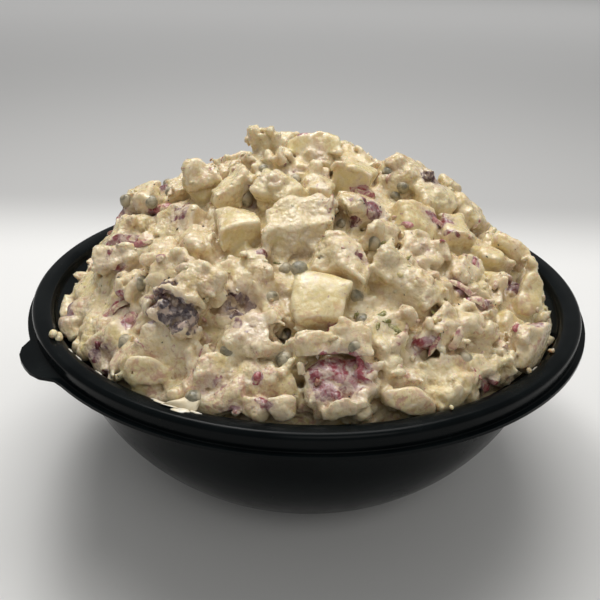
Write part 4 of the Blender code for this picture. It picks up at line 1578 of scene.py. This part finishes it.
def make_onion(mass, rng):
    """Strips of red onion that lie on the heap, placed by the photograph and at random."""
    laid = []
    seen = seen_places(mass, STRIPS.values(), -STRIP_LIFT)
    for (spot, normal), (x, y, length, width, turn, hue) in zip(seen, STRIPS.values()):
        laid.append((spot, picture_basis(normal, radians(turn)), length, width, hue))
    more, normals, chosen = pick_spots(mass, rng, MORE_STRIPS)
    for spot, normal in zip(more, normals):
        turned = turn_about(mound_basis(Vector(normal)), Z=rng.uniform(0, pi))
        length = rng.uniform(*MORE_STRIP_LENGTHS)
        width = rng.uniform(*MORE_STRIP_WIDTHS)
        spot = Vector(spot) - Vector(normal) * MORE_STRIP_SINK
        laid.append((spot, turned, length, width, rng.uniform(*MORE_STRIP_HUES)))
    shapes = []
    for spot, turned, length, width, hue in laid:
        turned = turn_about(turned, X=rng.uniform(-STRIP_TILT, STRIP_TILT))
        thickness = rng.uniform(*STRIP_THICKNESS)
        shape = strip_shape(length, width, thickness, rng.uniform(*STRIP_CURLS), rng)
        shapes.append(placed(shape, turned, spot))
    hues = [strip[-1] for strip in laid]
    dull = rng.uniform(0, 1, len(laid))
    return scatter_mesh("onion_strips", np.array(shapes), strip_faces(), {"parts": (hues, dull)})


def make_bits(name, mass, rng):
    """Small uneven bits on the mass, such as pepper or pink crumbs."""
    count, sizes, unevenness, sink, thick = BITS[name]
    spots, normals, chosen = pick_spots(mass, rng, count)
    size = random_size(sizes, BIT_POWER, rng, count)
    sides = size[:, None] * rng.uniform((0.8, 0.6, thick * 0.6), (1.3, 1.0, thick), (count, 3)) / 2
    spots = spots - normals * (size * sink)[:, None]
    shapes, faces = lumpy_shapes(spots, sides, rng, unevenness)
    return scatter_mesh(name, shapes, faces)


def rim_frame(angle, across):
    """Point on the rim and directions round it, out across it and up from it."""
    turn = radians(angle)
    outward = Vector((cos(turn), sin(turn), 0))
    round_way = Vector((sin(turn), -cos(turn), 0))
    edge = outward * RIM_EDGE[0] + Vector((0, 0, RIM_EDGE[1]))
    slope = outward * RIM_SLOPE[0] + Vector((0, 0, RIM_SLOPE[1])) if across < 0 else outward
    return edge + slope * across, Matrix((round_way, slope, round_way.cross(slope))).transposed()


def make_smears(rng):
    """Thin smears of dressing on the rim's inner edge, each a lobed sheet with drops beside it; the thin
    left ones are partly a painted glint.
    """
    points, faces = icosphere(3)
    ring = np.arctan2(points[:, 1], points[:, 0])
    shapes = []
    for angle, length, width, across in SMEARS.values():
        for i in range(1 + SMEAR_DROPS):
            along = rng.uniform(-0.6, 0.6) * length if i else 0.0
            spot, turned = rim_frame(angle + along / RIM_EDGE[0] * 180 / pi, across)
            share = rng.uniform(0.12, 0.3) if i else 1.0
            size = np.array((length / 2, width / 2, SMEAR_THICKNESS)) * (share, share, 1.0)
            lobes = 1 + 0.2 * np.sin(2 * ring + rng.uniform(0, 6))
            lobes += 0.12 * np.sin(5 * ring + rng.uniform(0, 6))
            shapes.append(placed(points * lobes[:, None] * size, turned, spot))
    return scatter_mesh("rim_smears", np.array(shapes), faces)


def make_rim_crumbs(rng):
    """Crumbs of potato and a drop of dressing left on the rim."""
    spots = []
    for angle, size, across in RIM_CRUMBS.values():
        spot, turned = rim_frame(angle, across)
        spots.append(spot + turned.col[2] * size * RIM_CRUMB_LIFT)
    size = np.array([crumb[1] for crumb in RIM_CRUMBS.values()])
    sides = size[:, None] * rng.uniform(*RIM_CRUMB_SIDES, (len(size), 3))
    shapes, faces = lumpy_shapes(np.array(spots), sides, rng, 0.14, 2)
    tint = rng.uniform(0, 1, len(size))
    # Fixed values that give the crumbs a little painted ridge highlight and no painted crease shade
    return scatter_mesh("rim_crumbs", shapes, faces, {"parts": (0, 0, 0), "shade": (0.42, 0.5, 0.5 * tint)})


def make_flake(rng):
    """Pale three-cornered flake of potato that lies over the rim's inner edge."""
    angle, length, width, across = FLAKE
    spot, turned = rim_frame(angle, across)
    shape = strip_shape(length, width, FLAKE_THICKNESS, FLAKE_CURL, rng)
    shape[:, 1] *= np.clip(0.62 - 1.2 * shape[:, 0] / length, 0.02, 1.2)
    shape = placed(shape, turn_about(turned, X=-0.8, Z=0.4), spot + turned.col[2] * FLAKE_LIFT)
    return scatter_mesh("rim_flake", shape[None], strip_faces())


def make_herbs(mass, rng):
    """Olive-green herb bits by the photograph."""
    shapes = []
    seen = seen_places(mass, HERBS.values(), -HERB_LIFT)
    for (spot, normal), (x, y, length, width, turn) in zip(seen, HERBS.values()):
        turned = picture_basis(normal, radians(turn))
        turned = turn_about(turned, X=rng.uniform(-HERB_TILT, HERB_TILT))
        shape = strip_shape(length, width, HERB_THICKNESS, rng.uniform(*HERB_CURLS), rng)
        shapes.append(placed(shape, turned, spot))
    return scatter_mesh("herb_leaves", np.array(shapes), strip_faces())


def turned_solid(name, rings, ends, angles):
    """Closed solid of rings, each as its radii at the angles and its height, between two ends."""
    steps = len(angles)
    points = [(0, 0, height) for height in ends]
    for radii, height in rings:
        for radius, angle in zip(radii, angles):
            points.append((radius * cos(angle), radius * sin(angle), height))
    last = 2 + (len(rings) - 1) * steps
    after = [(j, (j + 1) % steps) for j in range(steps)]
    faces = []
    for low in range(2, last, steps):
        high = low + steps
        for j, k in after:
            faces += [(low + j, low + k, high + k), (low + j, high + k, high + j)]
    for j, k in after:
        faces += [(0, 2 + k, 2 + j), (1, last + j, last + k)]
    return new_mesh(name, np.array(points, float), np.array(faces))


def make_core():
    """The salad inside the bowl, below what shows, turned from the same wall line."""
    heights = np.linspace(SHEET + GAP + WALL_SLACK, CORE_TOP, CORE_RINGS)
    rings = [(np.full(CORE_STEPS, wall_radius(z) - CORE_INSET), z) for z in heights]
    angles = np.arange(CORE_STEPS) * 2 * pi / CORE_STEPS
    return turned_solid("salad_core", rings, (heights[0], heights[-1]), angles)


# The bowl

def fillet(line, radius, steps=4):
    """The line with each inner corner rounded to about radius."""
    rounded = [line[0]]
    for before, corner, after in zip(line, line[1:], line[2:]):
        c = Vector(corner)
        back = Vector(before) - c
        on = Vector(after) - c
        reach = min(radius, back.length * 0.45, on.length * 0.45)
        start = c + back.normalized() * reach
        end = c + on.normalized() * reach
        for i in range(steps + 1):
            t = i / steps
            rounded.append(tuple(start * (1 - t) ** 2 + c * 2 * t * (1 - t) + end * t ** 2))
    rounded.append(line[-1])
    return rounded


def tab_reach(angle):
    """How far the flange runs out at an angle: a rounded tab round TAB_ANGLE."""
    share = abs(angle - TAB_ANGLE) / TAB_HALF_ANGLE
    return TAB_REACH * (1 - share ** 3) if share < 1 else 0.0


def make_bowl():
    """The bowl as one thin turned sheet, with the tab on its flange."""
    middle = body_line(BODY_STEPS) + fillet(rim_line(), CORNER)
    outer = offset_line(middle, -SHEET / 2)
    inner = offset_line(middle, SHEET / 2)
    tips = range(len(outer) - 3, len(outer) + 1)
    angles = -pi + np.arange(BOWL_STEPS) * 2 * pi / BOWL_STEPS
    tab = np.array([tab_reach(angle) for angle in angles])
    loop = enumerate(outer[1:] + inner[:0:-1])
    rings = [(radius + tab * (i in tips), height) for i, (radius, height) in loop]
    bowl = turned_solid("bowl_shell", rings, (0, SHEET), angles)
    bowl.data.set_sharp_from_angle(angle=CREASE_ANGLE)
    return bowl


# Materials

class Look:
    """A material with a principled shader, and short ways to add nodes to it."""

    def __init__(self, name):
        self.material = bpy.data.materials.new(name)
        self.material.use_nodes = True
        self.tree = self.material.node_tree
        self.tree.nodes.clear()
        self.shader = self.add("BsdfPrincipled")
        self.add("OutputMaterial", {"Surface": self.shader.outputs["BSDF"]})
        self.place = self.add("TexCoord").outputs["Object"]

    def put(self, value, socket):
        """Links a socket from another, or gives it a value; colours come as three numbers."""
        if isinstance(value, bpy.types.NodeSocket):
            self.tree.links.new(value, socket)
        elif socket.type == "RGBA":
            socket.default_value = (*value, 1)
        else:
            socket.default_value = value

    def add(self, kind, values=None, **settings):
        """New shader node with its settings; values holds what its input sockets are given."""
        item = self.tree.nodes.new("ShaderNode" + kind)
        for name, setting in settings.items():
            setattr(item, name, setting)
        for name, value in (values or {}).items():
            self.put(value, item.inputs[name])
        return item

    def shade(self, values):
        """Gives the shader's sockets their values, and returns the finished material."""
        for name, value in values.items():
            self.put(value, self.shader.inputs[name])
        return self.material

    def noise(self, wavelength, detail=3.0, rough=0.5, distortion=0.0):
        """Noise from 0 to 1 whose lumps are about wavelength millimetres apart."""
        return self.add("TexNoise", {
            "Vector": self.place, "Scale": 1 / (wavelength * MM), "Detail": detail,
            "Roughness": rough, "Distortion": distortion,
        }).outputs["Fac"]

    def cells(self, wavelength):
        """Distance to the middle of the nearest cell, 0 to about 1."""
        values = {"Vector": self.place, "Scale": 1 / (wavelength * MM)}
        return self.add("TexVoronoi", values).outputs["Distance"]

    def ramp(self, value, low, high, first=0.0, last=1.0):
        """Maps low..high of value smoothly to first..last."""
        return self.add("MapRange", {
            "Value": value, "From Min": low, "From Max": high, "To Min": first, "To Max": last,
        }, interpolation_type="SMOOTHSTEP").outputs["Result"]

    def math(self, operation, first, second):
        """The result of one sum on two values."""
        return self.add("Math", {0: first, 1: second}, operation=operation).outputs[0]

    def plus(self, first, second):
        """Two values added."""
        return self.math("ADD", first, second)

    def times(self, first, second):
        """Two values multiplied."""
        return self.math("MULTIPLY", first, second)

    def mix(self, share, first, second):
        """First colour where share is 0 and second colour where it is 1."""
        return self.add("Mix", {0: share, 6: first, 7: second}, data_type="RGBA").outputs[2]

    def cover(self, colour, value, limits, over):
        """The colour, covered by another where value is high; limits are those of ramp."""
        return self.mix(self.ramp(value, *limits), colour, over)

    def attribute(self, name):
        """The three values of a colour attribute."""
        colour = self.add("Attribute", attribute_name=name).outputs["Color"]
        return tuple(self.add("SeparateColor", {0: colour}).outputs)

    def along(self, axis):
        """Place along an axis, in metres."""
        return self.add("SeparateXYZ", {0: self.place}).outputs[axis]

    def bump(self, height, depth, strength=1.0):
        """Normal of a relief that is depth millimetres high."""
        values = {"Height": height, "Distance": depth * MM, "Strength": strength}
        return self.add("Bump", values).outputs["Normal"]


def subsurface(weight, depths):
    """How far light goes into a piece: its share, and the depth of each colour in metres."""
    return {"Subsurface Weight": weight, "Subsurface Radius": depths, "Subsurface Scale": 1.0}


def dressing_colour(look, streaks, tint, bare):
    """Cream and potato: warm and pale patches, potato that shows through, and tan stains."""
    cream = look.cover(CREAM, look.noise(9, 3, 0.55), (0.35, 0.68), CREAM_WARM)
    cream = look.cover(cream, tint, (0.62, 0.95, 0.0, 0.65), POTATO)
    showing = look.ramp(look.noise(6.5, 4, 0.6, 0.5), 0.5, 0.66)
    cream = look.mix(look.times(showing, 0.75), cream, POTATO_DEEP)
    cream = look.cover(cream, look.noise(4.6, 3, 0.6, 0.6), (0.56, 0.7, 0.0, 0.7), RIDGE)
    stains = look.ramp(look.noise(13, 2, 0.5), 0.55, 0.68)
    tan = look.times(stains, look.ramp(look.noise(5.2, 3, 0.6), 0.45, 0.6, 0.2, 0.8))
    cream = look.mix(tan, cream, TAN)
    potato = look.cover(POTATO, streaks, (0.3, 0.7), POTATO_DEEP)
    open_face = look.ramp(look.plus(streaks, look.times(bare, 0.3)), 0.6, 0.82)
    return look.mix(look.times(open_face, look.ramp(bare, 0.15, 0.6)), cream, potato)


def juice_colour(look, colour, streaks, height):
    """The dressing tinted by onion: pink low on the heap, grey patches and mauve flecks."""
    pink = look.ramp(look.noise(17, 2, 0.5), 0.44, 0.6)
    pink = look.times(pink, look.ramp(streaks, 0.48, 0.62, 0.0, 0.85))
    pink = look.times(pink, look.ramp(height, 0.095, 0.135, 1.0, 0.45))
    colour = look.mix(pink, colour, PINK)
    grey = look.ramp(look.noise(15, 3, 0.6), 0.54, 0.68)
    grey = look.times(grey, look.ramp(streaks, 0.36, 0.55, 0.6, 0.1))
    colour = look.mix(grey, colour, MAUVE_CREAM)
    flecks = look.ramp(look.noise(11, 2, 0.5), 0.46, 0.6)
    flecks = look.times(flecks, look.ramp(look.noise(2.4, 3, 0.6), 0.61, 0.69, 0.0, 0.8))
    return look.mix(flecks, colour, MAUVE)


def skin_colour(look, colour, skin, purple):
    """Potato skin and onion under torn dressing, and how far they show."""
    worn = look.noise(3.6, 3, 0.6, 0.6)
    red = look.cover(CRIMSON, worn, (0.42, 0.56), MAUVE)
    flesh = look.mix(purple, red, look.cover(PURPLE_GREY, worn, (0.4, 0.62), PURPLE_PALE))
    flesh = look.cover(flesh, look.noise(3.4, 4, 0.58, 0.5), (0.49, 0.62, 0.0, 0.85), MAUVE_CREAM)
    colour = look.mix(look.times(look.ramp(skin, 0.05, 0.6), 0.5), colour, MAUVE_CREAM)
    torn = look.plus(look.times(skin, 0.8), look.noise(5.0, 2, 0.5, 0.3))
    shown = look.ramp(torn, 0.97, 1.06)
    return look.mix(shown, colour, flesh), shown


def salad_material():
    """Dressing over potato, with the skins that the mass is painted with, painted shade that darkens the
    creases and a painted highlight on the ridges.
    """
    look = Look("salad_dressed")
    skin, purple, bare = look.attribute("parts")
    fine, broad, tint = look.attribute("shade")
    height = look.along(2)
    streaks = look.noise(3.2, 4, 0.6, 0.9)
    grains = look.noise(2.0, 2, 0.5)
    colour = dressing_colour(look, streaks, tint, bare)
    colour = juice_colour(look, colour, streaks, height)
    colour, shown = skin_colour(look, colour, skin, purple)
    # Painted highlight: paler cream on convex ridges, where little round them is filled, fading where skin
    # shows
    ridge = look.times(look.ramp(fine, 0.46, 0.30), look.ramp(shown, 0.0, 1.0, 0.55, 0.0))
    colour = look.mix(ridge, colour, RIDGE)
    # Painted shade: warm brown in narrow creases and broad hollows, less of it high on the heap
    narrow = look.ramp(fine, 0.54, 0.77, 0.0, 0.8)
    deep = look.math("MAXIMUM", look.ramp(broad, 0.57, 0.83, 0.0, 0.85), narrow)
    deep = look.times(deep, look.ramp(height, 0.122, 0.146, 1.0, 0.5))
    colour = look.mix(deep, colour, CREVICE)
    curds = look.ramp(look.cells(2.6), 0.0, 0.75, 1.0, 0.0)
    relief = look.plus(look.times(curds, 0.45), look.times(grains, 0.75))
    relief = look.plus(relief, look.times(look.noise(0.9, 2, 0.5), 0.3))
    relief = look.times(relief, look.ramp(look.noise(16, 2, 0.5), 0.35, 0.65, 0.55, 1.3))
    relief = look.times(relief, look.ramp(bare, 0.1, 0.8, 1.0, 0.4))
    return look.shade({
        "Base Color": colour,
        "Roughness": look.ramp(grains, 0.3, 0.7, 0.16, 0.34),
        "Specular IOR Level": 0.5,
        "Normal": look.bump(relief, 0.7),
        **subsurface(0.36, (0.0042, 0.0026, 0.0013)),
    })


def plastic_material():
    """Glossy black plastic with a faint haze."""
    look = Look("bowl_plastic")
    haze = look.noise(24, 3, 0.6)
    film = look.noise(5, 3, 0.6)
    return look.shade({
        "Base Color": look.cover(PLASTIC, haze, (0.3, 0.7), PLASTIC_PALE),
        "Roughness": look.ramp(look.plus(haze, look.times(film, 0.5)), 0.5, 1.0, 0.16, 0.28),
        "Specular IOR Level": 0.07,
        "Normal": look.bump(haze, 0.5, 0.25),
    })


def caper_material():
    """Olive green and blotched, with a film of dressing."""
    look = Look("caper_skin")
    blotch = look.noise(2.4, 3, 0.6)
    film = look.noise(4.2, 4, 0.62, 0.8)
    colour = look.cover(CAPER_DARK, blotch, (0.35, 0.7), CAPER)
    return look.shade({
        "Base Color": look.cover(colour, film, (0.36, 0.6, 0.15, 0.9), CAPER_FILM),
        "Roughness": look.ramp(film, 0.4, 0.7, 0.3, 0.45),
        "Normal": look.bump(look.plus(blotch, film), 0.5, 0.7),
        **subsurface(0.15, (0.001, 0.0012, 0.0007)),
    })


def onion_material():
    """Crimson to mauve with pale lines, and more dressing on the dull strips."""
    look = Look("onion_skin")
    pale, dull = look.attribute("parts")[:2]
    lines = look.noise(1.6, 3, 0.6)
    film = look.noise(4.5, 4, 0.62, 0.8)
    colour = look.cover(look.mix(pale, CRIMSON, MAUVE), lines, (0.35, 0.7, 0.0, 0.6), ONION_PALE)
    dressing = look.plus(film, look.times(dull, 0.16))
    return look.shade({
        "Base Color": look.cover(colour, dressing, (0.5, 0.66, 0.0, 0.9), CREAM),
        "Roughness": look.ramp(lines, 0.3, 0.7, 0.22, 0.36),
        "Normal": look.bump(look.plus(lines, film), 0.5, 0.7),
        **subsurface(0.2, (0.0025, 0.001, 0.0012)),
    })


def plain_material(name):
    """Two colours mixed by noise, with a little relief, and a film of dressing on some looks."""
    first, second, wavelength, roughness, depth, film = PLAIN_LOOKS[name]
    look = Look(name)
    spots = look.noise(wavelength, 3, 0.6)
    colour = look.cover(first, spots, (0.36, 0.66), second)
    if film:
        patches = look.noise(wavelength * 1.7, 4, 0.6, 1.0)
        colour = look.cover(colour, patches, (0.5, 0.6, 0.0, film), CREAM)
    return look.shade({
        "Base Color": colour,
        "Roughness": look.ramp(spots, 0.3, 0.7, roughness * 0.85, roughness * 1.2),
        "Normal": look.bump(spots, depth, 0.8),
    })


# Camera, lights and floor

def make_camera():
    """The scene's camera, at the place of the photograph's."""
    data = bpy.data.cameras.new("view")
    data.sensor_width = SENSOR
    data.lens = CAMERA_LENS
    data.clip_start = CLIP_START
    camera = add_object("view", data)
    axes = Matrix((VIEW_ACROSS, VIEW_UP, -VIEW_AHEAD)).transposed().to_4x4()
    axes.translation = (0, *CAMERA_PLACE)
    camera.matrix_world = axes
    bpy.context.scene.camera = camera


def add_light(name, place, aim, size, power, colour):
    """Soft rectangular light at a place, turned to its aim."""
    data = bpy.data.lights.new(name, "AREA")
    data.shape = "RECTANGLE"
    data.size, data.size_y = size
    data.energy = power
    data.color = colour
    data.spread = LIGHT_SPREAD.get(name, pi)
    light = add_object(name, data)
    light.location = place
    light.rotation_euler = (Vector(aim) - Vector(place)).to_track_quat("-Z", "Y").to_euler()


def make_stage():
    """A wide flat floor, pale round the bowl and greyer far behind it, in painted light and shade along its
    depth.
    """
    x, back, front = FLOOR_REACH
    points = [(-x, -front, 0), (x, -front, 0), (x, back, 0), (-x, back, 0)]
    stage = new_mesh("floor", np.array(points) / MM, np.array([(0, 1, 2, 3)]))
    look = Look("paper")
    depth = look.along(1)
    # Painted light and shade along the floor's depth; the faint spots are the paper's own
    paper = look.cover(FLOOR_NEAR, depth, FLOOR_CHANGE, FLOOR_FAR)
    behind = look.cover(BEHIND_NEAR, depth, FAR_CHANGE, BEHIND_FAR)
    paper = look.cover(paper, depth, BEHIND_CHANGE, behind)
    paper = look.cover(paper, look.noise(180, 3), (0.2, 0.8, 0.0, 0.04), BEHIND_NEAR)
    stage.data.materials.append(look.shade({"Base Color": paper, "Roughness": 0.6}))


def make_lights():
    """A dim even world, and the lights."""
    world = bpy.data.worlds.new("studio")
    world.use_nodes = True
    background = world.node_tree.nodes["Background"]
    background.inputs["Color"].default_value = (*WORLD_COLOUR, 1)
    background.inputs["Strength"].default_value = WORLD_STRENGTH
    bpy.context.scene.world = world
    bpy.context.scene.view_settings.view_transform = "Standard"
    for name, light in LIGHTS.items():
        add_light(name, *light)


def finish_piece(piece, material, slot_name, *nodes):
    """Gives a piece its material and body, and hides the nodes that it stands for; slot_name is not used.
    """
    piece.data.materials.clear()
    piece.data.materials.append(material)
    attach(piece, "root")
    if nodes:
        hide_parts(*nodes)


rng = np.random.default_rng(LOOK_SEED)
mass = make_mass(rng)
dressed = salad_material()
finish_piece(mass, dressed, "salad", "salad")
finish_piece(make_crumble(mass, rng), dressed, "salad")
finish_piece(make_capers(mass, rng), caper_material(), "salad")
finish_piece(make_onion(mass, rng), onion_material(), "salad")
finish_piece(make_bits("pepper_specks", mass, rng), plain_material("pepper"), "salad")
finish_piece(make_bits("pink_bits", mass, rng), plain_material("pink_flesh"), "salad")
finish_piece(make_bits("herb_bits", mass, rng), plain_material("herb"), "salad")
finish_piece(make_herbs(mass, rng), plain_material("herb_leaf"), "salad")
finish_piece(make_smears(rng), plain_material("smear"), "salad")
finish_piece(make_rim_crumbs(rng), dressed, "salad")
finish_piece(make_flake(rng), plain_material("flake"), "salad")
finish_piece(make_core(), plain_material("salad_inside"), "salad")
finish_piece(make_bowl(), plastic_material(), "black_plastic", "bowl")
make_camera()
make_stage()
make_lights()
